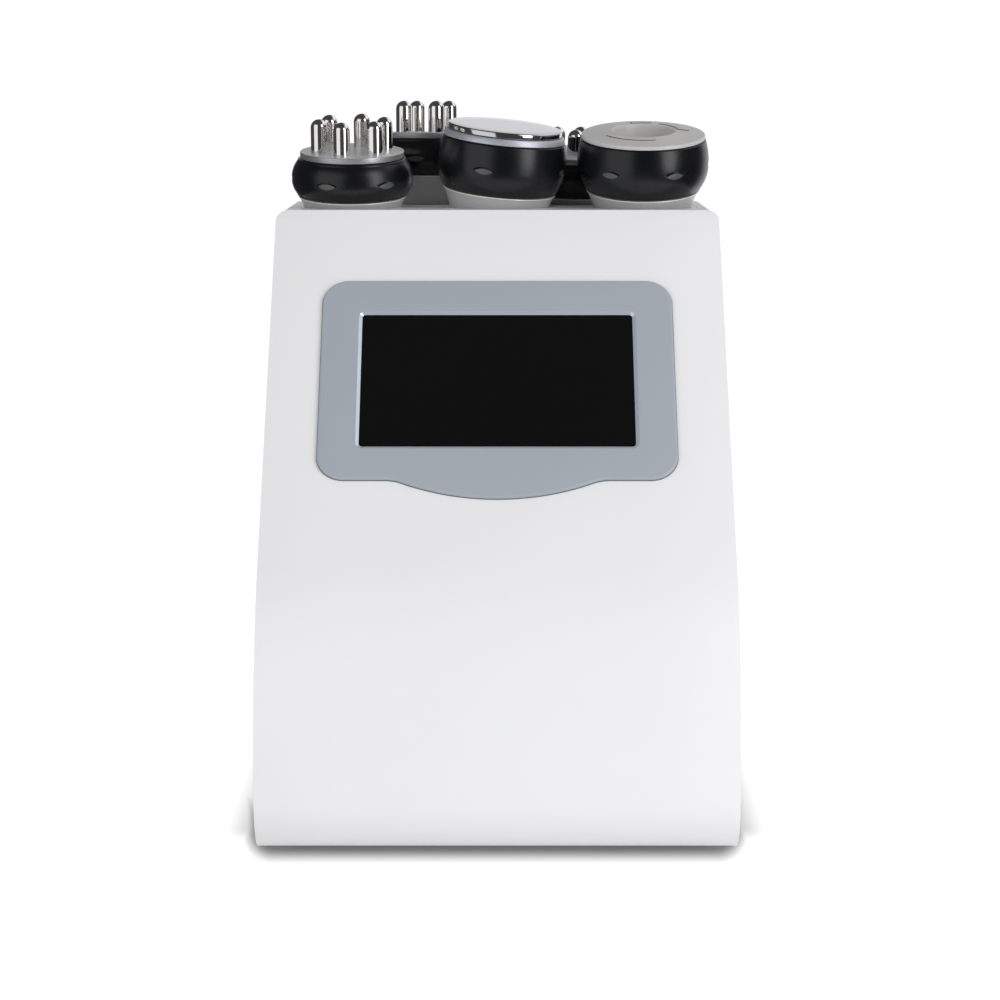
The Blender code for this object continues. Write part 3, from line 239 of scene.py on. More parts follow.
def grain_group():
    """Shader group: slow clouds and a fine grain that vary colour and gloss, and the grain's bumps."""
    group = bpy.data.node_groups.new("surface_grain", "ShaderNodeTree")
    group.interface.new_socket("Colour", in_out="INPUT", socket_type="NodeSocketColor")
    for name in ("Roughness", "Tone", "Gloss", "Speckle", "Cloud Scale", "Grain Scale", "Grain Depth"):
        group.interface.new_socket(name, in_out="INPUT", socket_type="NodeSocketFloat")
    for name, kind in (("Colour", "Color"), ("Roughness", "Float"), ("Normal", "Vector")):
        group.interface.new_socket(name, in_out="OUTPUT", socket_type="NodeSocket" + kind)
    entry = group.nodes.new("NodeGroupInput")
    leave = group.nodes.new("NodeGroupOutput")
    where = group.nodes.new("ShaderNodeTexCoord")
    noises = []
    for scale, detail in (("Cloud Scale", 3.0), ("Grain Scale", 2.0)):
        noise = group.nodes.new("ShaderNodeTexNoise")
        noise.inputs["Detail"].default_value = detail
        put(group, where.outputs["Object"], noise.inputs["Vector"])
        put(group, entry.outputs[scale], noise.inputs["Scale"])
        noises.append(fade(group, noise.outputs[0], 0.3, 0.7, -1.0, 1.0, "LINEAR"))
    cloud, grain = noises
    brighter = sum_node(group, "MULTIPLY_ADD", cloud, entry.outputs["Tone"], 1.0)
    brighter = sum_node(group, "MULTIPLY_ADD", grain, entry.outputs["Speckle"], brighter)
    shade = group.nodes.new("ShaderNodeVectorMath")
    shade.operation = "SCALE"
    put(group, entry.outputs["Colour"], shade.inputs[0])
    put(group, brighter, shade.inputs["Scale"])
    put(group, shade.outputs[0], leave.inputs["Colour"])
    put(group, sum_node(group, "MULTIPLY_ADD", cloud, entry.outputs["Gloss"], entry.outputs["Roughness"]),
        leave.inputs["Roughness"])
    bump = group.nodes.new("ShaderNodeBump")
    bump.inputs["Distance"].default_value = grain_height
    put(group, entry.outputs["Grain Depth"], bump.inputs["Strength"])
    put(group, grain, bump.inputs["Height"])
    put(group, bump.outputs[0], leave.inputs["Normal"])
    return group


surface_grain = grain_group()


def finish(name, colour, roughness, metallic=0.0, tone=0.03, gloss=0.03, grain=900.0, depth=0.05,
           clouds=12.0, speckle=0.0, coat=0.0, shine=0.5):
    """A material for a slot, whose colour and gloss are varied by clouds and speckle over a fine grain."""
    made = bpy.data.materials.new(name)
    made.use_nodes = True
    tree = made.node_tree
    shader = tree.nodes["Principled BSDF"]
    shader.inputs["Metallic"].default_value = metallic
    shader.inputs["Specular IOR Level"].default_value = shine
    shader.inputs["Coat Weight"].default_value = coat
    shader.inputs["Coat Roughness"].default_value = 0.08
    surface = tree.nodes.new("ShaderNodeGroup")
    surface.node_tree = surface_grain
    values = {"Colour": (*colour, 1), "Roughness": roughness, "Tone": tone, "Gloss": gloss, "Speckle": speckle,
              "Cloud Scale": clouds, "Grain Scale": grain, "Grain Depth": depth}
    for socket, value in values.items():
        surface.inputs[socket].default_value = value
    for source, target in (("Colour", "Base Color"), ("Roughness", "Roughness"), ("Normal", "Normal")):
        put(tree, surface.outputs[source], shader.inputs[target])
    return made


def meshed(name, bm, sharp=30):
    """A smooth-shaded mesh of bm, whose steeper folds stay sharp."""
    bmesh.ops.remove_doubles(bm, verts=bm.verts, dist=weld)
    bmesh.ops.recalc_face_normals(bm, faces=bm.faces)
    mesh = bpy.data.meshes.new(name)
    bm.to_mesh(mesh)
    bm.free()
    mesh.shade_smooth()
    mesh.set_sharp_from_angle(angle=math.radians(sharp))
    return mesh


def piece(name, bm, surface, *nodes, body="case", sharp=30):
    """A finished piece, which rides on a body and stands for the CAD nodes that are named."""
    made = bpy.data.objects.new(name, bm if isinstance(bm, bpy.types.Mesh) else meshed(name, bm, sharp))
    made.data.materials.clear()
    made.data.materials.append(surface)
    scene.collection.objects.link(made)
    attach(made, body)
    if nodes:
        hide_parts(*nodes)


def softened(bm, width, steps=2, angle=35):
    """Rounds the edges of bm that fold more than angle."""
    bmesh.ops.remove_doubles(bm, verts=bm.verts, dist=weld)
    bmesh.ops.recalc_face_normals(bm, faces=bm.faces)
    folds = [edge for edge in bm.edges if edge.is_manifold and edge.calc_face_angle(0) > math.radians(angle)]
    bmesh.ops.bevel(bm, geom=folds, offset=width, segments=steps, profile=0.5, affect="EDGES",
                    clamp_overlap=True)
    return bm


def skin_point(distance, inset=0.0):
    """(y, z) at a distance along the outside of the cover from its lower edge, set in by inset."""
    roll, belly = roll_radius - inset, belly_radius - inset
    left = distance - tuck_length
    if left < 0:
        return front_y + roll_radius - left, floor_gap + inset
    if left < roll_radius * math.pi / 2:
        turn = left / roll_radius
        return front_y + roll_radius - roll * math.sin(turn), floor_gap + roll_radius - roll * math.cos(turn)
    left -= roll_radius * math.pi / 2
    if left < toe_height:
        return front_y + inset, floor_gap + roll_radius + left
    left -= toe_height
    turn = min(left / belly_radius, lean)
    straight = max(left - belly_radius * lean, 0.0)
    return (front_y + belly_radius - belly * math.cos(turn) + straight * math.sin(lean),
            belly_start + belly * math.sin(turn) + straight * math.cos(lean))


def strips(bm, rings):
    """Faces between neighbouring closed rings of equal count."""
    for low, high in zip(rings, rings[1:]):
        for item in range(len(low)):
            after = (item + 1) % len(low)
            bm.faces.new((low[item], low[after], high[after], high[item]))


def cover_shell():
    """Both faces of the sheet as a grid of cells that leaves the window open, with walls on every edge."""
    toe = tuck_length + roll_radius * math.pi / 2
    belly = toe + toe_height
    reveal = window_length / 2 + opening_margin
    stations = {strip_length - window_below_top + side * reveal for side in (-1, 1)}
    stations |= {tuck_length + roll_radius * math.pi / 2 * step / 30 for step in range(31)}
    stations |= {belly + belly_radius * lean * step / 36 for step in range(37)}
    corner = [skin_corner * (1 - math.cos(math.pi / 2 * step / 12)) for step in range(13)]
    stations = {item for item in stations if item > skin_corner} | set(corner)
    stations |= {strip_length - item for item in corner}
    stations = sorted(stations)
    half_hole = window_width / 2 + opening_margin
    hole_low = strip_length - window_below_top - window_length / 2 - opening_margin
    hole_high = hole_low + window_length + 2 * opening_margin
    bm = bmesh.new()
    outer, inner = [], []
    for station in stations:
        nearest = min(station, strip_length - station, skin_corner)
        half = half_case - skin_corner + math.sqrt(skin_corner ** 2 - (skin_corner - nearest) ** 2)
        reach = skin * math.tan(lean) if station == strip_length else 0.0
        for row, (y, z) in ((outer, skin_point(station)), (inner, skin_point(station + reach, skin))):
            row.append([bm.verts.new((x, y, z)) for x in (-half, -half_hole, half_hole, half)])
    rim = {}
    for item, station in enumerate(stations[:-1]):
        for column in range(3):
            if column == 1 and hole_low - gap < station < hole_high - gap:
                continue
            cell = ((item, column), (item, column + 1), (item + 1, column + 1), (item + 1, column))
            bm.faces.new([outer[row][place] for row, place in cell])
            bm.faces.new([inner[row][place] for row, place in reversed(cell)])
            for start, end in zip(cell, cell[1:] + cell[:1]):
                if (end, start) in rim:
                    del rim[(end, start)]
                else:
                    rim[(start, end)] = True
    for start, end in rim:
        bm.faces.new((outer[end[0]][end[1]], outer[start[0]][start[1]],
                      inner[start[0]][start[1]], inner[end[0]][end[1]]))
    return bm


powder_white = finish("powder_white", (0.86, 0.86, 0.865), 0.36, tone=0.006, grain=1400,
                      depth=0.035, clouds=7)
piece("front_cover", softened(cover_shell(), edge_round, 3, 45), powder_white, "front_panel")

# The flat sheet-steel pieces: side panels that stand just inside the cover's edges, the vented base plate
# and the bay's tray, with their sheared edges broken before they were coated.


def node_shape(node):
    """The shape of a CAD node with its flat faces whole."""
    bm = bmesh.new()
    bm.from_mesh(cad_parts[node].data)
    bmesh.ops.remove_doubles(bm, verts=bm.verts, dist=node_weld)
    bmesh.ops.dissolve_limit(bm, angle_limit=math.radians(1), verts=bm.verts, edges=bm.edges)
    return bm


for node in ("left_side_panel", "right_side_panel", "base_plate", "bay_tray"):
    piece(node + "_sheet", softened(node_shape(node), 0.0003, 2, 60), powder_white, node)

# The top deck. A moulded cap in satin white, whose front shoulders are rounder than its rear ones, with
# a hole for each cup.
deck_skirt = 0.012
deck_wall = 0.003
deck_front_radius = 0.007
deck_rear_radius = 0.003
deck_least_radius = 0.0005
side_inset = 0.0005
deck_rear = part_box("top_deck")[1].y
half_body = half_case - side_inset
front_row, back_row = 0.0634316, 0.1301801
# name: across, y, lean, tilt and rise of the collar's foot over the deck
stands = {
    "sextupolar": (-0.0872, front_row, math.radians(7.6), 0.0, 0.0078),
    "cavitation": (0.0, front_row, math.radians(6.8), math.radians(5.5), 0.0112),
    "vacuum": (0.0872, front_row, math.radians(11.5), 0.0, 0.0119),
    "quadrupolar": (-0.0442, back_row, 0.0, 0.0, 0.0186),
    "tripolar": (0.0442, back_row, math.radians(7.4), math.radians(2.5), 0.0083),
}
cup_depth = 0.020


def stand_axes(name):
    """The matrix of a hand piece's own axes, whose origin is the foot of its collar."""
    across, y, forward, tilt, rise = stands[name]
    turn = Euler((forward, tilt, 0.0)).to_matrix().to_4x4()
    hole = Matrix.Translation((across, y, case_top))
    return hole @ Matrix.Translation(turn.col[2].to_3d() * rise) @ turn


def stood(name, kind, bm, surface, *nodes, sharp=30):
    """A piece that is made in a hand piece's own axes and rides on it."""
    piece(name + kind, moved(bm, stand_axes(name)), surface, *nodes, body=name + "_hand_piece", sharp=sharp)


def arc(centre, radius, start, end, steps):
    return [(centre[0] + radius * math.cos(start + (end - start) * step / steps),
             centre[1] + radius * math.sin(start + (end - start) * step / steps)) for step in range(steps + 1)]


def turned(profile, steps=96):
    """A closed solid of revolution about Z."""
    bm = bmesh.new()
    points = [bm.verts.new((radius, 0.0, height)) for radius, height in profile]
    edges = [bm.edges.new(pair) for pair in zip(points, points[1:])]
    if profile[0][0] > 0:
        edges.append(bm.edges.new((points[-1], points[0])))
    bmesh.ops.spin(bm, geom=points + edges, cent=(0, 0, 0), axis=(0, 0, 1), angle=math.tau, steps=steps,
                   use_merge=True)
    bmesh.ops.remove_doubles(bm, verts=bm.verts, dist=weld / 2)
    bmesh.ops.recalc_face_normals(bm, faces=bm.faces)
    return bm


def rod(radius, low, high, steps=96):
    return turned([(0.0, low), (radius, low), (radius, high), (0.0, high)], steps)


def moved(bm, matrix):
    bmesh.ops.transform(bm, matrix=matrix, verts=bm.verts)
    return bm


def together(*parts):
    """One bmesh with the separate shells of several."""
    whole = bmesh.new()
    for part in parts:
        mesh = bpy.data.meshes.new("part")
        part.to_mesh(mesh)
        part.free()
        whole.from_mesh(mesh)
        bpy.data.meshes.remove(mesh)
    return whole


def carved(bm, *cutters, operation="DIFFERENCE"):
    """The shape that is left of bm when each cutter has been taken out of it."""
    blocks = []
    for shape in (bm, *cutters):
        bmesh.ops.recalc_face_normals(shape, faces=shape.faces)
        mesh = bpy.data.meshes.new("carving")
        shape.to_mesh(mesh)
        shape.free()
        block = bpy.data.objects.new("carving", mesh)
        scene.collection.objects.link(block)
        blocks.append(block)
    for tool in blocks[1:]:
        step = blocks[0].modifiers.new("cut", "BOOLEAN")
        step.operation = operation
        step.solver = "EXACT"
        step.object = tool
    graph = bpy.context.evaluated_depsgraph_get()
    mesh = bpy.data.meshes.new_from_object(blocks[0].evaluated_get(graph))
    result = bmesh.new()
    result.from_mesh(mesh)
    bpy.data.meshes.remove(mesh)
    for block in blocks:
        mesh = block.data
        bpy.data.objects.remove(block)
        bpy.data.meshes.remove(mesh)
    return result


def deck_shell():
    """The cap as a loft from front to rear, hollow below."""
    low = case_top - deck_skirt
    shells = []
    deck_front = front_y + top_back + skin / math.cos(lean) + gap
    for inset in (0.0, deck_wall):
        rows = []
        bm = bmesh.new()
        front = deck_front + inset / math.cos(lean) - (inset * math.tan(lean) if inset else 0.0)
        for y, radius in ((front, deck_front_radius - inset),
                          (deck_rear - inset, max(deck_rear_radius - inset, deck_least_radius))):
            side, top = half_body - inset - radius, case_top - inset - radius
            foot = low if inset == 0 else low - deck_wall
            points = [(half_body - inset, foot)] + arc((side, top), radius, 0, math.pi / 2, 12)
            points += arc((-side, top), radius, math.pi / 2, math.pi, 12) + [(inset - half_body, foot)]
            slant = math.tan(lean) if y == front else 0.0
            rows.append([bm.verts.new((x, y - (case_top - inset - z) * slant, z)) for x, z in points])
        strips(bm, rows)
        bm.faces.new(rows[0])
        bm.faces.new(rows[1])
        shells.append(bm)
    return shells


# name: radius at the foot, belly and brow, height, and level of the belly
collars = {
    "sextupolar": (0.0324, 0.0365, 0.0318, 0.0225, 0.0105),
    "quadrupolar": (0.0324, 0.0365, 0.0318, 0.0217, 0.0105),
    "tripolar": (0.0324, 0.0365, 0.0318, 0.0198, 0.0105),
    "cavitation": (0.0340, 0.0384, 0.0370, 0.0304, 0.0155),
    "vacuum": (0.0340, 0.0394, 0.0372, 0.0306, 0.0158),
}
cone_slope = math.tan(math.radians(22))
shoulder_inset = 0.0005
cup_wall = 0.0012
grip_radius = 0.0198
hole_levels = (-0.04, 0.02)


def cup_outside(name):
    """Outer radius of a cup, as in the deck's holes."""
    lean_forward, tilt, rise = stands[name][2:]
    tip = math.acos(math.cos(lean_forward) * math.cos(tilt))
    cone = collars[name][0] - shoulder_inset - cone_slope * rise
    return cone / (1 - cone_slope * math.tan(tip)) + gap + cup_wall


deck_white = finish("deck_white", (0.80, 0.80, 0.805), 0.42, tone=0.008, grain=2200, clouds=9)
outer_shell, hollow = deck_shell()
holes = [moved(rod(cup_outside(name) + gap, *hole_levels), stand_axes(name)) for name in stands]
deck = carved(softened(outer_shell, 0.0008, 3, 50), hollow, *holes)
piece("deck_cap", deck, deck_white, "top_deck")

# The cups. Thin moulded sleeves that drop into the deck's holes from below and end flush with its top,
# with a flange that bears against the underside; the cone of a grip sits in each.
cup_flange = 0.0016
cup_flange_lip = 0.0006
cup_round = 0.0003


def cup_shape(name):
    """A sleeve round the leaning grip cone, whose upper edge lies in the deck's top face."""
    axes = stand_axes(name)
    up = axes.col[2].to_3d()
    rise = stands[name][4]
    outside = cup_outside(name)
    foot = collars[name][0] - shoulder_inset + gap
    low = -rise - cup_depth
    bend = max(-gap - (foot - grip_radius - 2 * gap) / cone_slope, low)
    bore = foot + cone_slope * (bend + gap)
    steps = 96
    bm = bmesh.new()
    rings = [[] for _ in range(7)]
    for step in range(steps):
        around = math.tau * step / steps
        flat = Vector((math.cos(around), math.sin(around), 0.0))
        drop = (axes.to_3x3() @ flat).z / up.z
        wall_top = -rise - outside * drop
        share = (foot + cone_slope * (-rise + gap)) / (1 + cone_slope * drop)
        edge_top = -rise - share * drop
        profile = ((outside, low), (outside, wall_top - cup_round),
                   (outside - cup_round, wall_top + cup_round * drop),
                   (share + cup_round, edge_top - cup_round * drop), (share, edge_top - cup_round),
                   (bore, bend), (bore, low))
        for ring, (radius, height) in zip(rings, profile):
            ring.append(bm.verts.new((radius * flat.x, radius * flat.y, height)))
    strips(bm, rings + rings[:1])
    moved(bm, axes)
    flange_top = case_top - deck_wall - gap
    middle = axes.translation + up * ((flange_top - cup_flange / 2 - axes.translation.z) / up.z)
    ring = [(outside - cup_wall / 2, -cup_flange / 2), (outside + cup_flange_lip, -cup_flange / 2),
            (outside + cup_flange_lip, cup_flange / 2), (outside - cup_wall / 2, cup_flange / 2)]
    return together(bm, moved(turned(ring), Matrix.Translation(middle)))


for name in stands:
    piece(name + "_sleeve", cup_shape(name), deck_white, name + "_cup")

# The grips. Hollow mouldings in silver-grey lacquer: a spigot inside the collar, the cone that sits in the
# cup with a narrow lip at its top, where a thin ring is painted pale as a highlight, a waisted handle and a
# domed tail, below the deck.
spigot_radius = 0.0240
neck_radius = 0.0185
grip_lengths = dict.fromkeys(stands, 0.084) | {"vacuum": 0.062}
tail_length = 0.014
tail_radius = 0.0085
trim_height = 0.0009
trim_round = 0.0003


def grip_shape(name):
    foot, belly, brow, height, level = collars[name]
    cone_top = foot - shoulder_inset
    cone_length = (cone_top - neck_radius) / cone_slope
    length = grip_lengths[name]
    points = [(0.0, height / 2 - gap), (spigot_radius, height / 2 - gap), (spigot_radius, -gap - trim_height)]
    points += arc((cone_top - 2 * trim_round, -gap - trim_height - trim_round), trim_round, math.pi / 2, 0, 4)
    for step in range(49):
        share = step / 48
        swell = (grip_radius - neck_radius) * math.sin(math.pi * share)
        points.append((neck_radius + swell, -gap - cone_length - length * share))
    tail_top = -gap - cone_length - length
    for step in range(1, 17):
        turn = math.pi / 2 * step / 16
        points.append((neck_radius - (neck_radius - tail_radius) * (1 - math.cos(turn)),
                       tail_top - tail_length * math.sin(turn)))
    return points + [(0.0, tail_top - tail_length)]


lacquer = finish("silver_lacquer", (0.50, 0.495, 0.505), 0.34, metallic=0.3, gloss=0.04,
                 grain=3000, depth=0.04, clouds=30, speckle=0.05, coat=0.35)
# The thin ring under each collar is coloured near white: a painted highlight along the cone's lip.
highlight_painted_pale = finish("highlight_painted_pale", (0.92, 0.87, 0.78), 0.26, metallic=0.1, tone=0.02,
                     depth=0.02)
for name in stands:
    edge = collars[name][0] - gap / 2
    trim = [(spigot_radius, -gap), (spigot_radius, -gap - trim_height), (edge - trim_round, -gap - trim_height)]
    trim += arc((edge - trim_round, -gap - trim_height + trim_round), trim_round, -math.pi / 2, math.pi / 2, 8)
    stood(name, "_trim", turned(trim, 144), highlight_painted_pale)
    stood(name, "_handle", turned(grip_shape(name)), lacquer, name + "_grip")

# The collars. Soft-touch black rings, barrel-shaped for the fingers, with eye-shaped hollows round the
# belly of each, and a lighter grey inlay in the lower part of every hollow: painted light on its upward wall.
collar_round = 0.0012
collar_fullness = 2.2
dimple_length = 0.0136
dimple_height = 0.0062
dimple_depth = 0.0022
dimple_slant = math.radians(-24)
# Painted light in the hollows: how far the lighter inlay is set in and dropped, and its share of a hollow's
# length and height.
painted_light_inset, painted_light_drop = 0.0004, 0.0010
painted_light_size = (0.92, 0.64)
# name: count and first place of the hollows
dimples = {"sextupolar": (6, -22.5), "quadrupolar": (6, -10.0), "tripolar": (6, -30.0),
           "cavitation": (4, -16.0), "vacuum": (6, -33.0)}


def collar_shape(name, inset=0.0):
    foot, belly, brow, height, level = collars[name]

    def radius(up):
        edge, span = (foot, level) if up < level else (brow, height - level)
        return edge + (belly - edge) * (1 - (abs(up - level) / span) ** collar_fullness) - inset

    low, high = radius(collar_round), radius(height - collar_round)
    outside = arc((low - collar_round, collar_round), collar_round, -math.pi / 2, 0, 6)[:-1]
    levels = [collar_round + (height - 2 * collar_round) * step / 40 for step in range(41)]
    outside += [(radius(up), up) for up in levels]
    outside += arc((high - collar_round, height - collar_round), collar_round, 0, math.pi / 2, 6)[1:]
    bore = spigot_radius + gap
    return turned([(bore, height), (bore, 0.0)] + outside, 144)


def dimple_tools(name, size=(1.0, 1.0), drop=0.0):
    """Spindles whose points lie on the collar's belly, slanted so that their upper walls are steep."""
    belly, level = collars[name][1], collars[name][4]
    chord = math.sqrt(belly ** 2 - (dimple_length / 2) ** 2)
    count, first = dimples[name]
    steps = 28
    profile = [(4 * step * (steps - step) / steps ** 2, step / steps - 0.5) for step in range(steps + 1)]
    lay = Matrix(((0, 0, 1, 0), (1, 0, 0, 0), (0, 1, 0, 0), (0, 0, 0, 1)))
    stretch = Matrix.Diagonal((dimple_length * size[0], dimple_depth - (belly - chord),
                               dimple_height / 2 * size[1], 1))
    tools = []
    for step in range(count):
        place = Matrix.Rotation(math.radians(first) + math.tau * step / count, 4, "Z")
        place @= Matrix.Translation((0.0, -chord, level - drop)) @ Matrix.Rotation(dimple_slant, 4, "X")
        tools.append(moved(turned(profile, 36), place @ stretch @ lay))
    return together(*tools)


soft_black = finish("soft_touch_black", (0.004, 0.0044, 0.006), 0.27, tone=0.10, grain=2600,
                    depth=0.06, clouds=40, shine=0.42)
painted_light_grey = finish("painted_light_grey", (0.048, 0.050, 0.048), 0.36, tone=0.10, grain=2600, depth=0.06,
                  clouds=60, shine=1.0)
for name in stands:
    ring = softened(carved(collar_shape(name), dimple_tools(name)), 0.0003, 2, 28)
    stood(name, "_finger_ring", ring, soft_black, name + "_collar", sharp=40)
    # The lighter grey inlay in each hollow's lower part is painted light.
    painted_light_inlay = carved(collar_shape(name, painted_light_inset), dimple_tools(name, painted_light_size, painted_light_drop), operation="INTERSECT")
    stood(name, "_painted_light_inlays", painted_light_inlay, painted_light_grey)

# The cord glands. Black rubber strain reliefs with three soft grooves, at the tail of each grip.
gland_radius = 0.0062
gland_tip_radius = 0.0044
gland_length = 0.019
gland_groove = 0.0006
gland_bore = (0.0025, 0.012)


def gland_shape(name):
    foot = collars[name][0]
    cone_length = (foot - shoulder_inset - neck_radius) / cone_slope
    top = -cone_length - grip_lengths[name] - tail_length - 2 * gap
    points = [(0.0, top), (gland_radius, top)]
    for step in range(1, 73):
        down = gland_length * step / 72
        radius = gland_radius + (gland_tip_radius - gland_radius) * down / gland_length
        groove = max(math.sin(down / gland_length * 3 * math.tau - 2.2), 0.0) ** 0.6
        points.append((radius - gland_groove * groove, top - down))
    low = top - gland_length
    radius, depth = gland_bore
    return points + [(radius, low), (radius, low + depth), (0.0, low + depth)]


rubber = finish("black_rubber", (0.018, 0.018, 0.019), 0.62, tone=0.12, gloss=0.05,
                grain=2400, depth=0.10, clouds=60)
for name in stands:
    stood(name, "_strain_relief", turned(gland_shape(name), 48), rubber, name + "_cord_gland")

# The radio-frequency heads. A satin grey metal plate on the collar, with a ring of polished chrome
# electrodes pressed into it, each with a round nose.
plate_radius = 0.0312
plate_thickness = 0.0037
electrode_radius = 0.0050
electrode_root = 0.0020
plate_rounds = (0.0004, 0.0006)
# name: count, radius of the ring, length and first place of the electrodes
electrode_rings = {
    "sextupolar": (6, 0.0200, 0.0196, 15.0),
    "quadrupolar": (4, 0.0153, 0.0194, 24.5),
    "tripolar": (3, 0.0089, 0.0154, -73.0),
}


def copies_tree(name, source, kinds, wires):
    """Geometry nodes: copies of a shape on the points of a source, turned, made whole and given a finish."""
    tree = bpy.data.node_groups.new(name, "GeometryNodeTree")
    for socket, kind in {"Geometry": "Geometry", **kinds, "Turn": "Float", "Finish": "Material"}.items():
        tree.interface.new_socket(socket, in_out="INPUT", socket_type="NodeSocket" + kind)
    tree.interface.new_socket("Geometry", in_out="OUTPUT", socket_type="NodeSocketGeometry")
    entry, turn, leave = (tree.nodes.new(kind) for kind in (
        "NodeGroupInput", "ShaderNodeCombineXYZ", "NodeGroupOutput"))
    points, spread, copies, whole, coat = (tree.nodes.new("GeometryNode" + kind) for kind in (
        source, "Transform", "InstanceOnPoints", "RealizeInstances", "SetMaterial"))
    for socket, target in wires.items():
        put(tree, entry.outputs[socket], points.inputs[target])
    for value, node, socket in (
            (entry.outputs["Turn"], turn, "Z"), (turn.outputs[0], spread, "Rotation"),
            (points.outputs["Mesh"], spread, "Geometry"), (spread.outputs[0], copies, "Points"),
            (entry.outputs["Geometry"], copies, "Instance"), (copies.outputs[0], whole, "Geometry"),
            (whole.outputs[0], coat, "Geometry"), (entry.outputs["Finish"], coat, "Material"),
            (coat.outputs[0], leave, "Geometry")):
        put(tree, value, node.inputs[socket])
    return tree


def grown(name, bm, tree, place, **values):
    """The mesh that a tree of geometry nodes makes of bm, set in its place."""
    base = bpy.data.objects.new(name, meshed(name, bm))
    scene.collection.objects.link(base)
    step = base.modifiers.new("grow", "NODES")
    step.node_group = tree
    for item in tree.interface.items_tree:
        if item.in_out == "INPUT" and item.name in values:
            step[item.identifier] = values[item.name]
    graph = bpy.context.evaluated_depsgraph_get()
    mesh = bpy.data.meshes.new_from_object(base.evaluated_get(graph))
    bpy.data.objects.remove(base)
    mesh.transform(place)
    return mesh


plate_metal = finish("plate_metal", (0.60, 0.60, 0.62), 0.40, metallic=0.75, gloss=0.04,
                     grain=2600, depth=0.035, clouds=60, speckle=0.04)
# The turned faces of the plates are painted paler than their walls, whose normals lie flat: painted light
# from above, with less metal on the faces. How far up a normal points where the change starts and ends, and
# the painted tone and the metal before and after it.
plate_facing, plate_painted_light_tones, plate_metal_shares = (0.4, 0.8), (0.72, 1.06), (0.75, 0.45)
tree = plate_metal.node_tree
facing = tree.nodes.new("ShaderNodeSeparateXYZ")
put(tree, tree.nodes.new("ShaderNodeTexCoord").outputs["Normal"], facing.inputs[0])
# Painted light: the plate's colour scaled by how far up its normal points.
painted_plate_light = tree.nodes.new("ShaderNodeVectorMath")
painted_plate_light.operation = "SCALE"
put(tree, tree.nodes["Group"].outputs["Colour"], painted_plate_light.inputs[0])
put(tree, fade(tree, facing.outputs["Z"], *plate_facing, *plate_painted_light_tones), painted_plate_light.inputs["Scale"])
shader = tree.nodes["Principled BSDF"]
put(tree, painted_plate_light.outputs[0], shader.inputs["Base Color"])
put(tree, fade(tree, facing.outputs["Z"], *plate_facing, *plate_metal_shares), shader.inputs["Metallic"])
chrome = finish("chrome", (0.82, 0.80, 0.77), 0.06, metallic=1.0, tone=0.01, gloss=0.015,
                grain=400, depth=0.004, clouds=20)
copies_round = copies_tree("ring_of_copies", "MeshCircle", {"Count": "Int", "Radius": "Float"},
                           {"Count": "Vertices", "Radius": "Radius"})
for name, (count, ring, length, turn) in electrode_rings.items():
    height = collars[name][3]
    low = height + gap
    top = low + plate_thickness
    profile = [(0.0, height / 2 + gap), (spigot_radius, height / 2 + gap), (spigot_radius, low)]
    below, above = plate_rounds
    profile += arc((plate_radius - below, low + below), below, -math.pi / 2, 0, 4)
    profile += arc((plate_radius - above, top - above), above, 0, math.pi / 2, 5) + [(0.0, top)]
    stood(name, "_plate", turned(profile), plate_metal, name + "_head")
    shoulder = top + length - electrode_radius
    pin = [(0.0, top - electrode_root), (electrode_radius, top - electrode_root)]
    pin.append((electrode_radius, top + gap / 3))
    pin += arc((0.0, shoulder), electrode_radius, 0, math.pi / 2, 14)
    pins = grown(name + "_electrodes", turned(pin, 48), copies_round, stand_axes(name), Count=count,
                 Radius=ring, Turn=math.radians(turn), Finish=chrome)
    piece(name + "_electrodes", pins, chrome, body=name + "_hand_piece")

# The cavitation head. A grained silver rim, drawn in at the top, carries the flat polished face of
# the ultrasonic transducer.
rim_height = 0.0038
rim_top_radius = 0.0354
disc_radius = 0.0343
disc_height = 0.0034
disc_round, disc_foot_round = 0.0009, 0.0004
rim_round = 0.0005
rim_lip = (0.0003, 0.0004)
stem_radius = 0.0200
cavitation_brow, cavitation_height = collars["cavitation"][2:4]
rim_inset = 0.0002

rim_silver = finish("rim_silver", (0.53, 0.54, 0.60), 0.40, metallic=0.6, tone=0.04, gloss=0.05,
                    grain=2200, depth=0.16, clouds=50, speckle=0.14)
low = cavitation_height + gap
top = low + rim_height
mid = cavitation_height / 2 + gap
foot = cavitation_brow - rim_inset
rim = [(stem_radius + gap, top), (stem_radius + gap, mid), (spigot_radius, mid), (spigot_radius, low)]
rim += arc((foot - rim_round, low + rim_round), rim_round, -math.pi / 2, 0, 5)
rim += [(rim_top_radius + rim_lip[0], top - rim_lip[1]), (rim_top_radius, top)]
stood("cavitation", "_bezel_ring", turned(rim, 144), rim_silver, "cavitation_rim")
face_low = top + gap
face_top = face_low + disc_height
face = [(0.0, mid), (stem_radius, mid), (stem_radius, face_low)]
face += arc((disc_radius - disc_foot_round, face_low + disc_foot_round), disc_foot_round, -math.pi / 2, 0, 4)
face += arc((disc_radius - disc_round, face_top - disc_round), disc_round, 0, math.pi / 2, 8)
face += [(disc_radius * share, face_top) for share in (0.7, 0.35)] + [(0.0, face_top)]
face_chrome = finish("face_chrome", (0.60, 0.59, 0.605), 0.09, metallic=1.0, tone=0.01,
                     gloss=0.02, grain=600, depth=0.004, clouds=20)
stood("cavitation", "_face", turned(face, 144), face_chrome, "cavitation_transducer")

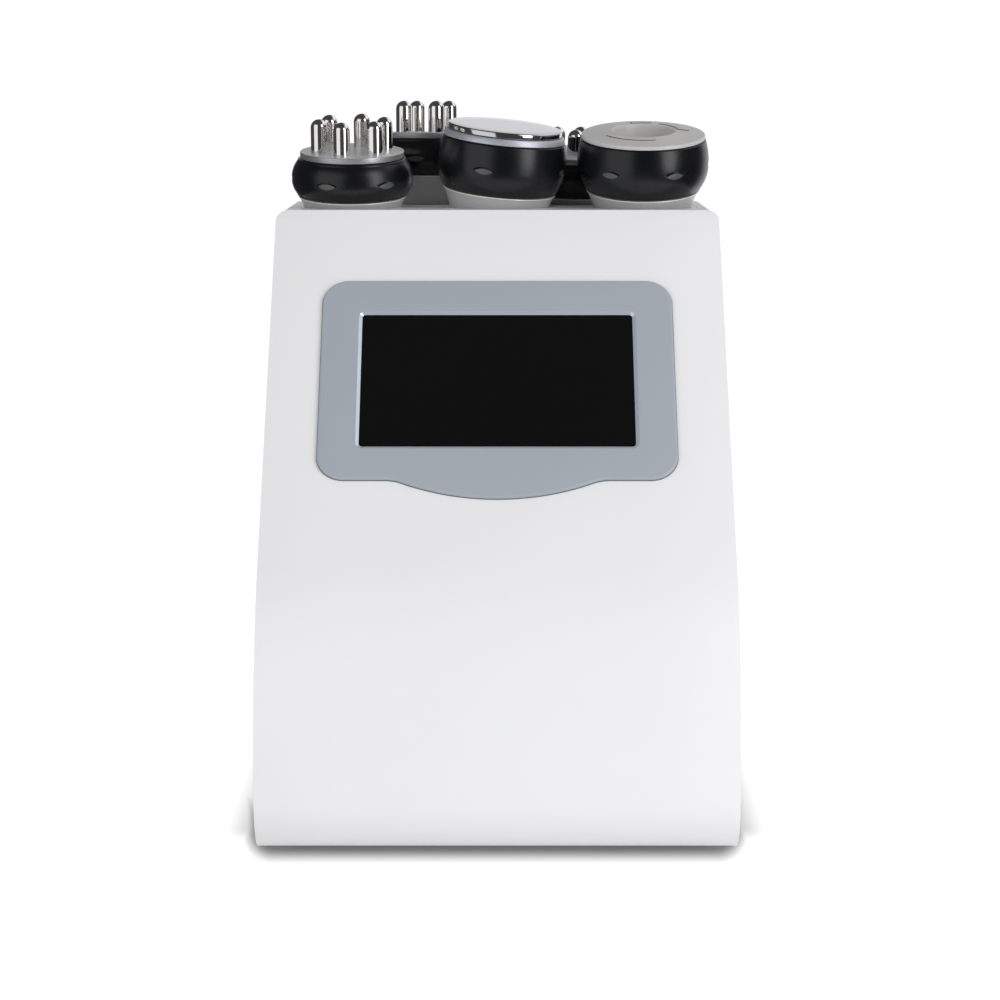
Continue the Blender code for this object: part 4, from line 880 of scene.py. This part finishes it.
# The vacuum head. A warm grey crown with a suction cup in its middle, and three arc-shaped pads let
# into it round the mouth, each with a painted shadow, a fine dark band under its edge, where it steps down.
crown_edge = 0.0023
crown_rise = 0.0042
crown_lip_radius = 0.0205
mouth_radius = 0.0180
mouth_floor_radius = 0.0160
mouth_depth = 0.0180
mouth_round = 0.0025
crown_foot_round, crown_edge_round, crown_lip_round = 0.0003, 0.0008, 0.0014
suction_hole = 0.0030
pad_rise = 0.00045
# The painted shadow under each pad: how high its dark band stands and how far it reaches past the pad.
shadow_line_rise = 0.00032
shadow_line_width = 0.00018
pad_root = 0.0010
pad_inner = 0.0209
# Outer radius, first and last bearing of each pad
pads = ((0.0255, -151, -77), (0.0274, 7, 61), (0.0250, 77, 106))
vacuum_brow, vacuum_height = collars["vacuum"][2:4]


def crown_height(radius):
    foot = vacuum_brow - rim_inset
    return crown_edge + (crown_rise - crown_edge) * (foot - radius) / (foot - crown_lip_radius)


low = vacuum_height + gap
foot = vacuum_brow - rim_inset
mid = vacuum_height / 2 + gap
floor_height = low + crown_rise - mouth_depth
crown = [(suction_hole, floor_height), (suction_hole, mid), (spigot_radius, mid), (spigot_radius, low)]
crown += arc((foot - crown_foot_round, low + crown_foot_round), crown_foot_round, -math.pi / 2, 0, 3)
crown += arc((foot - crown_edge_round, low + crown_edge - crown_edge_round), crown_edge_round, 0,
             math.pi / 2 - 0.1, 5)
crown += arc((crown_lip_radius - 0.0009, low + crown_rise - 0.0012), crown_lip_round, math.pi / 2 - 0.5,
             math.pi - 0.15, 8)
crown += [(mouth_radius, low + crown_rise - 0.0022), (mouth_floor_radius, floor_height + 0.0030)]
crown += arc((mouth_floor_radius - mouth_round, floor_height + mouth_round), mouth_round, 0, -math.pi / 2, 6)
warm_grey = finish("warm_grey", (0.545, 0.535, 0.525), 0.38, tone=0.02, gloss=0.04, grain=2000,
                   clouds=40)
stood("vacuum", "_crown_shell", turned(crown, 144), warm_grey, "vacuum_crown")


def pad_shape(rise, margin):
    """Three arcs that follow the crown's slope and stand over it by rise, each widened by margin."""
    arcs = []
    for outer, first, last in pads:
        bm = bmesh.new()
        start, end = math.radians(first) - margin / outer, math.radians(last) + margin / outer
        rows = []
        for step in range(33):
            around = start + (end - start) * step / 32
            points = [(pad_inner - margin, -pad_root), (outer + margin, -pad_root), (outer + margin, rise),
                      (pad_inner - margin, rise)]
            rows.append([bm.verts.new((radius * math.cos(around), radius * math.sin(around),
                                       low + crown_height(radius) + up)) for radius, up in points])
        strips(bm, rows)
        bm.faces.new(rows[0])
        bm.faces.new(rows[-1])
        arcs.append(bm)
    return together(*arcs)


stood("vacuum", "_pads", softened(pad_shape(pad_rise, 0.0), 0.00012, 2, 50), warm_grey, "vacuum_contact_ring")
# A dark band, a little wider and lower than the pads, is painted shadow at their steps.
stood("vacuum", "_pad_painted_shadow_lines", pad_shape(shadow_line_rise, shadow_line_width), rubber)

# The screen. A moulded blue-grey surround with a bulge in its lower edge stands proud of the slope; the
# touch glass lies a little below its bevelled window, over the display module and its board.
bezel_drop = 0.05265
bezel_width = 0.2005
bezel_length = 0.13545
bezel_corner = 0.0152
bezel_proud = 0.0023
bezel_round = 0.0013
bulge_depth = 0.0122
bulge_radius = 0.140
bulge_fillet = 0.025
window_recess = 0.0012
window_bevel = 0.0019
lip = 0.00008
window_corner = 0.0021
glass_border = 0.0050
glass_thickness = 0.0018
# Painted shade round the surround's foot: how far the dark band stands out and how high it is.
shade_band_proud = 0.00030
shade_band_height = 0.00045
slope = Matrix.Translation((0.0, front_y + top_back, case_top)) @ Matrix.Rotation(math.pi / 2 - lean, 4, "X")


def bezel_outline(inset):
    half = bezel_length / 2
    arc_centre = -half - bulge_depth + bulge_radius
    run = bulge_radius + bulge_fillet
    shoulder = math.sqrt(run ** 2 - (arc_centre + half + bulge_fillet) ** 2)
    swing = math.asin(shoulder / run)
    corner = bezel_corner - inset
    side, top = bezel_width / 2 - bezel_corner, half - bezel_corner
    points = []
    for quarter, (across, up) in enumerate(((side, top), (-side, top), (-side, -top))):
        points += arc((across, up), corner, quarter * math.pi / 2, (quarter + 1) * math.pi / 2, 20)
    up = math.pi / 2
    points += arc((-shoulder, -half - bulge_fillet), bulge_fillet + inset, up, up - swing, 14)
    points += arc((0.0, arc_centre), bulge_radius - inset, -up - swing, -up + swing, 48)[1:-1]
    points += arc((shoulder, -half - bulge_fillet), bulge_fillet + inset, up + swing, up, 14)
    return points + arc((side, -top), corner, 3 * math.pi / 2, math.tau, 20)


def rectangle(width, height, radius, steps=8):
    across, up = width / 2 - radius, height / 2 - radius
    points = []
    for quarter, corner in enumerate(((across, up), (-across, up), (-across, -up), (across, -up))):
        points += arc(corner, radius, quarter * math.pi / 2, (quarter + 1) * math.pi / 2, steps)
    return points


def layered(sections):
    """A loft through closed outlines of equal count, each given with its height."""
    bm = bmesh.new()
    rings = [[bm.verts.new((x, y, height)) for x, y in outline] for outline, height in sections]
    strips(bm, rings)
    bm.faces.new(rings[0])
    bm.faces.new(rings[-1])
    return bm


def slab(width, length, radius, low, high, steps=8):
    """An upright block with rounded corners."""
    return layered([(rectangle(width, length, radius, steps), level) for level in (low, high)])


def window_loft(*sections):
    """A loft through the window's outline, which is grown by an amount at each level."""
    return layered([(rectangle(window_width + 2 * grow, window_length + 2 * grow, window_corner + grow), level)
                    for grow, level in sections])


bezel_edge = arc((bezel_round, bezel_proud - bezel_round), bezel_round, math.pi, math.pi / 2, 6)
bezel_sections = [(bezel_outline(inset), level) for inset, level in [(0.0, gap)] + bezel_edge]
middle = Matrix.Translation((0.0, -bezel_drop - bezel_length / 2, 0.0))
window = Matrix.Translation((0.0, -window_below_top, 0.0))
reach = 0.004
flare = window_bevel * (1 + reach / window_recess)
opening = window_loft((0.0, -reach), (0.0, bezel_proud - window_recess), (flare, bezel_proud + reach))
glass_top = bezel_proud - window_recess - gap
glass_size = (window_width + 2 * glass_border, window_length + 2 * glass_border)
glass_corner = 0.001
pocket = slab(glass_size[0] + 2 * gap, glass_size[1] + 2 * gap, glass_corner, -reach, glass_top + gap)
bezel = carved(moved(layered(bezel_sections), middle), moved(opening, window), moved(pocket, window))
# A thin dark band round the surround's foot is painted shade along its edge.
bezel_shade_band = moved(layered([(bezel_outline(-shade_band_proud), level) for level in (0.00002, shade_band_height)]), middle)
hidden = moved(slab(window_width + reach, window_length + reach, window_corner, -reach, reach), window)
# A thin pale, glossy sheet over the window's bevel is a painted highlight on it.
lip_levels = (bezel_proud - window_recess, bezel_proud)
lip_cut = window_bevel / window_recess * reach / 8
lip_outside = layered([(rectangle(window_width + 2 * grow + lip / 2, window_length + 2 * grow + lip / 2,
                                  window_corner + grow), level)
                       for grow, level in zip((0.0, window_bevel), lip_levels)])
lip_inside = window_loft((-lip - lip_cut, lip_levels[0] - reach / 8),
                         (window_bevel - lip + lip_cut, lip_levels[1] + reach / 8))
lip_painted_sheen = finish("lip_painted_sheen", (0.57, 0.63, 0.72), 0.16, metallic=0.35, tone=0.01, gloss=0.02,
                  grain=1800, depth=0.01)
piece("window_lip", moved(carved(lip_outside, lip_inside), slope @ window), lip_painted_sheen)
painted_shade_grey = finish("painted_shade_grey", (0.13, 0.15, 0.17), 0.6, tone=0.05, grain=1500)
piece("surround_shade_band", moved(carved(bezel_shade_band, hidden), slope), painted_shade_grey)
blue_grey = finish("blue_grey", (0.380, 0.419, 0.465), 0.36, tone=0.012, gloss=0.025,
                   grain=1800, clouds=10)
piece("screen_surround", moved(bezel, slope), blue_grey, "screen_bezel", sharp=20)

pane = slab(*glass_size, glass_corner, glass_top - glass_thickness, glass_top)
black_glass = finish("black_glass", (0.0036, 0.0036, 0.0034), 0.07, tone=0.05, gloss=0.01,
                     grain=300, depth=0.002, clouds=8)
piece("screen_glass", moved(pane, slope @ window), black_glass, "touch_glass")

# The feet. Four turned rubber pads under the base plate.
for node in (end + "_" + side + "_foot" for end in ("front", "rear") for side in ("left", "right")):
    piece(node + "_pad", softened(node_shape(node), 0.0004, 2, 20), rubber, node)

# The rear panel and the fittings in its holes, black mouldings and nickel-plated turned parts: fan, mains
# inlet, switch, fuse holder, hose port and the row of sockets for the hand pieces' leads.
black_plastic = finish("black_plastic", (0.026, 0.026, 0.028), 0.46, tone=0.08, gloss=0.04,
                       grain=2000, depth=0.08, clouds=40)
nickel = finish("nickel", (0.60, 0.59, 0.57), 0.26, metallic=1.0, gloss=0.05, grain=1500,
                depth=0.02, clouds=50)
rear_low, rear_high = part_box("rear_panel")
rear_turn = Euler((math.pi / 2, 0.0, math.pi)).to_matrix().to_4x4()
rear = Matrix.Translation((0.0, rear_high.y, rear_low.z)) @ rear_turn
fan_place, fuse_place, port_place = (0.062, 0.046), (-0.018, 0.038), (0.010, 0.070)
fan_bore = 0.0280
# Under the fan's struts, and over the rear panel
fan_bore_levels = (-0.0130, 0.0010)
fan_axes, fuse_axes, port_axes = (
    rear @ Matrix.Translation((*place, 0.0)) for place in (fan_place, fuse_place, port_place))
rounding = turned([(fan_bore - 0.001, fan_bore_levels[0]), (fan_bore, fan_bore_levels[0]),
                   (fan_bore, fan_bore_levels[1]), (fan_bore - 0.001, fan_bore_levels[1])])
fan_frame = carved(node_shape("fan_frame"), moved(rounding, fan_axes))
panel = carved(node_shape("rear_panel"), moved(rod(fan_bore, -0.005, 0.002), fan_axes))
piece("rear_panel_sheet", softened(panel, 0.0003, 2, 60), powder_white, "rear_panel")
piece("fan_frame_moulding", fan_frame, black_plastic, "fan_frame")
for node in ("fan_rotor", "mains_inlet", "switch_body", "switch_rocker"):
    body = node if node in ("fan_rotor", "switch_rocker") else "case"
    piece(node + "_moulding", softened(node_shape(node), 0.00025, 2, 40), black_plastic, node, body=body)

# Turned fittings: (radius, level) profiles over the outside of the rear panel.
fuse_flange, fuse_top, fuse_floor, fuse_body, fuse_depth = 0.0085, 0.0023, -0.0070, 0.0060, 0.0200
fuse_cap, fuse_head, fuse_slot = 0.0046, 0.0063, (0.0014, 0.0016)
holder = [(0.0, fuse_floor), (fuse_cap + gap, fuse_floor), (fuse_cap + gap, fuse_top), (fuse_flange, fuse_top),
          (fuse_flange, gap), (fuse_body, gap), (fuse_body, -fuse_depth), (0.0, -fuse_depth)]
piece("fuse_holder_moulding", moved(softened(turned(holder, 64), 0.0003, 3, 40), fuse_axes), black_plastic,
      "fuse_holder")
slot_cut = slab(3 * fuse_cap, fuse_slot[0], 0.0002, fuse_head - fuse_slot[1], fuse_head + 0.001, 2)
cap = carved(softened(rod(fuse_cap, fuse_floor + gap, fuse_head, 64), 0.0004, 3, 40), slot_cut)
piece("fuse_cap_moulding", moved(cap, fuse_axes), black_plastic, "fuse_cap", body="fuse_cap")
port_bore, port_body, port_flange, port_neck, port_barb = 0.0018, 0.0055, 0.0080, 0.0030, 0.0039
port_top, port_floor, port_foot, barb_pitch, barb_rise = 0.0110, -0.0100, 0.0023, 0.00435, 0.0013
port = [(port_bore, port_top), (port_bore, port_floor), (port_body, port_floor), (port_body, gap),
        (port_flange, gap), (port_flange, port_foot)]
for foot in (port_foot, port_foot + barb_pitch):
    port += [(port_neck, foot), (port_barb, foot + barb_rise), (port_neck, foot + barb_pitch)]
piece("vacuum_port_metal", moved(softened(turned(port, 64), 0.0002, 2, 40), port_axes), nickel, "vacuum_port")
socket_up, socket_pitch = 0.1124, 0.046
socket_flange, socket_nose, socket_bore, socket_tail = 0.0105, 0.0078, 0.0061, 0.0068
flange_top, bore_floor, nose_top, tail_low = 0.0021, 0.0034, 0.0096, -0.0120
thread_pitch, thread_depth = 0.0010, 0.00025
socket = [(0.0, bore_floor), (socket_bore, bore_floor), (socket_bore, nose_top),
          (socket_nose - 0.0005, nose_top)]
for step in range(7):
    crest = nose_top - 0.0006 - thread_pitch * step
    socket += [(socket_nose, crest), (socket_nose - thread_depth, crest - thread_pitch / 2)]
socket += [(socket_nose, flange_top), (socket_flange, flange_top), (socket_flange, gap), (socket_tail, gap),
           (socket_tail, tail_low), (0.0, tail_low)]
socket_axes = {name: rear @ Matrix.Translation((socket_pitch * (2 - item), socket_up, 0.0))
               for item, name in enumerate(("sextupolar", "quadrupolar", "cavitation", "tripolar", "vacuum"))}
for name, place in socket_axes.items():
    metal = softened(turned(socket, 64), 0.00015, 2, 50)
    piece(name + "_socket_metal", moved(metal, place), nickel, name + "_socket")

# The fan's guard, bent from round wire: three rings and a small one over crossed spokes, whose eyes take the
# screws at the corners of the fan.
wire = 0.0009
guard_rings = (0.0075, 0.0149, 0.0223, 0.0297)
fan_pitch = 0.050
eye_radius = 0.0040


def hoop(radius, section, height=0.0, steps=64):
    """A ring of round wire about Z."""
    return turned(arc((radius, height), section, 0, math.tau, 12)[:-1], steps)


wires = [hoop(radius, wire, gap + 2.6 * wire) for radius in guard_rings]
corner = fan_pitch / math.sqrt(2)
for quarter in range(4):
    out = Matrix.Rotation(math.pi / 4 + quarter * math.pi / 2, 4, "Z")
    spoke = rod(wire, guard_rings[0], corner - eye_radius, 12)
    lay = Matrix.Translation((0.0, 0.0, gap + wire)) @ out @ Matrix.Rotation(math.pi / 2, 4, "Y")
    wires.append(moved(spoke, lay))
    eye = hoop(eye_radius - wire, wire, gap + wire, 32)
    wires.append(moved(eye, out @ Matrix.Translation((corner, 0.0, 0.0))))
piece("fan_wire_guard", moved(together(*wires), fan_axes), nickel, "fan_guard")

# The screws that hold the fan and the rear panel: pan heads of plated steel with a cross recess.
panel_screws = (0.236, 0.114, 2, 3)
panel_screw_middle = (0.0, 0.0692)
screw_radius = 0.0028
screw_height = 0.0015
screw_wall = 0.35
recess = (0.0034, 0.0007, 0.0009)


def screw_head():
    """A pan head that stands on z = 0, with its cross recess cut out."""
    dome = [(0.0, -0.0002), (screw_radius, -0.0002), (screw_radius, screw_height * screw_wall)]
    dome += [(screw_radius * across, screw_height * (screw_wall + (1 - screw_wall) * up))
             for across, up in arc((0.0, 0.0), 1.0, 0, math.pi / 2, 8)[1:-1]] + [(0.0, screw_height)]
    long, broad, deep = recess
    slots = []
    for turn in (0.0, math.pi / 2):
        slot = layered([(rectangle(long * 0.6, broad, broad * 0.3, 2), screw_height - deep),
                        (rectangle(long * 1.1, broad, broad * 0.3, 2), screw_height + deep)])
        slots.append(moved(slot, Matrix.Rotation(turn, 4, "Z")))
    return carved(turned(dome, 32), *slots)


copies_in_grid = copies_tree(
    "grid_of_copies", "MeshGrid", {"Width": "Float", "Height": "Float", "Columns": "Int", "Rows": "Int"},
    {"Width": "Size X", "Height": "Size Y", "Columns": "Vertices X", "Rows": "Vertices Y"})
for name, place, (width, height, columns, rows) in (
        ("fan_screws", fan_axes @ Matrix.Translation((0.0, 0.0, gap + 2 * wire)), (fan_pitch, fan_pitch, 2, 2)),
        ("panel_screws", rear @ Matrix.Translation((*panel_screw_middle, 0.0)), panel_screws)):
    screws = grown(name, screw_head(), copies_in_grid, place, Width=width, Height=height, Columns=columns,
                   Rows=rows, Finish=nickel)
    piece(name, screws, nickel)

# The contacts of the sockets: a black insert on the floor of each bore, with four plated pins.
insert = (0.0058, 0.0034, 0.0046)
pin_circle, pin_radius, pin_top = 0.0030, 0.0006, 0.0082
for name, place in socket_axes.items():
    radius, floor_level, top_level = insert
    disc = softened(rod(radius, floor_level, top_level, 48), 0.0003, 2, 40)
    piece(name + "_socket_insert", moved(disc, place), black_plastic)
    pin = [(0.0, floor_level), (pin_radius, floor_level), (pin_radius, pin_top - pin_radius)]
    pin += arc((0.0, pin_top - pin_radius), pin_radius, 0, math.pi / 2, 4)[1:]
    pins = grown(name + "_socket_pins", turned(pin, 12), copies_round, place, Count=4, Radius=pin_circle,
                 Turn=math.pi / 4, Finish=nickel)
    piece(name + "_socket_pins", pins, nickel)

# The marks of the switch, a bar and a ring in white print on the two faces of its rocker.
switch_place = (-0.048, 0.038)
rocker_tilt = math.radians(9)
face_tilt = math.atan2(0.0016, 0.0076)
mark_out, mark_up, mark_line = 0.0042, 0.0027, 0.00022
bar_length, ring_radius, mark_rise = 0.0024, 0.0012, 0.00006
rocker = rear @ Matrix.Translation((*switch_place, 0.0)) @ Matrix.Rotation(-rocker_tilt, 4, "X")
bar = slab(2.2 * mark_line, bar_length, mark_line / 2, -mark_line, mark_rise, 3)
bar = softened(bar, mark_rise / 2, 1, 40)
ring = hoop(ring_radius, mark_line, 0.0, 40)
marks = []
for mark, side in ((bar, 1), (ring, -1)):
    lay = Matrix.Translation((0.0, side * mark_out, mark_up)) @ Matrix.Rotation(side * face_tilt, 4, "X")
    marks.append(moved(mark, rocker @ lay))
piece("switch_marks", together(*marks), deck_white, body="switch_rocker")

# The electronics inside the case, which nothing shows: plain zinc-coated sheet, green boards and a
# black pump.
zinc = finish("zinc_sheet", (0.55, 0.56, 0.58), 0.35, metallic=0.9, tone=0.10, gloss=0.075,
              grain=500, depth=0.03, clouds=90)
board_green = finish("board_green", (0.02, 0.12, 0.05), 0.35, tone=0.15, gloss=0.05, grain=700,
                     depth=0.2, clouds=200)
for node, surface in (("display_module", zinc), ("power_supply", zinc), ("control_board", board_green),
                      ("generator_board", board_green), ("vacuum_pump", black_plastic)):
    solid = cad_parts[node]
    solid.data.materials.clear()
    solid.data.materials.append(surface)
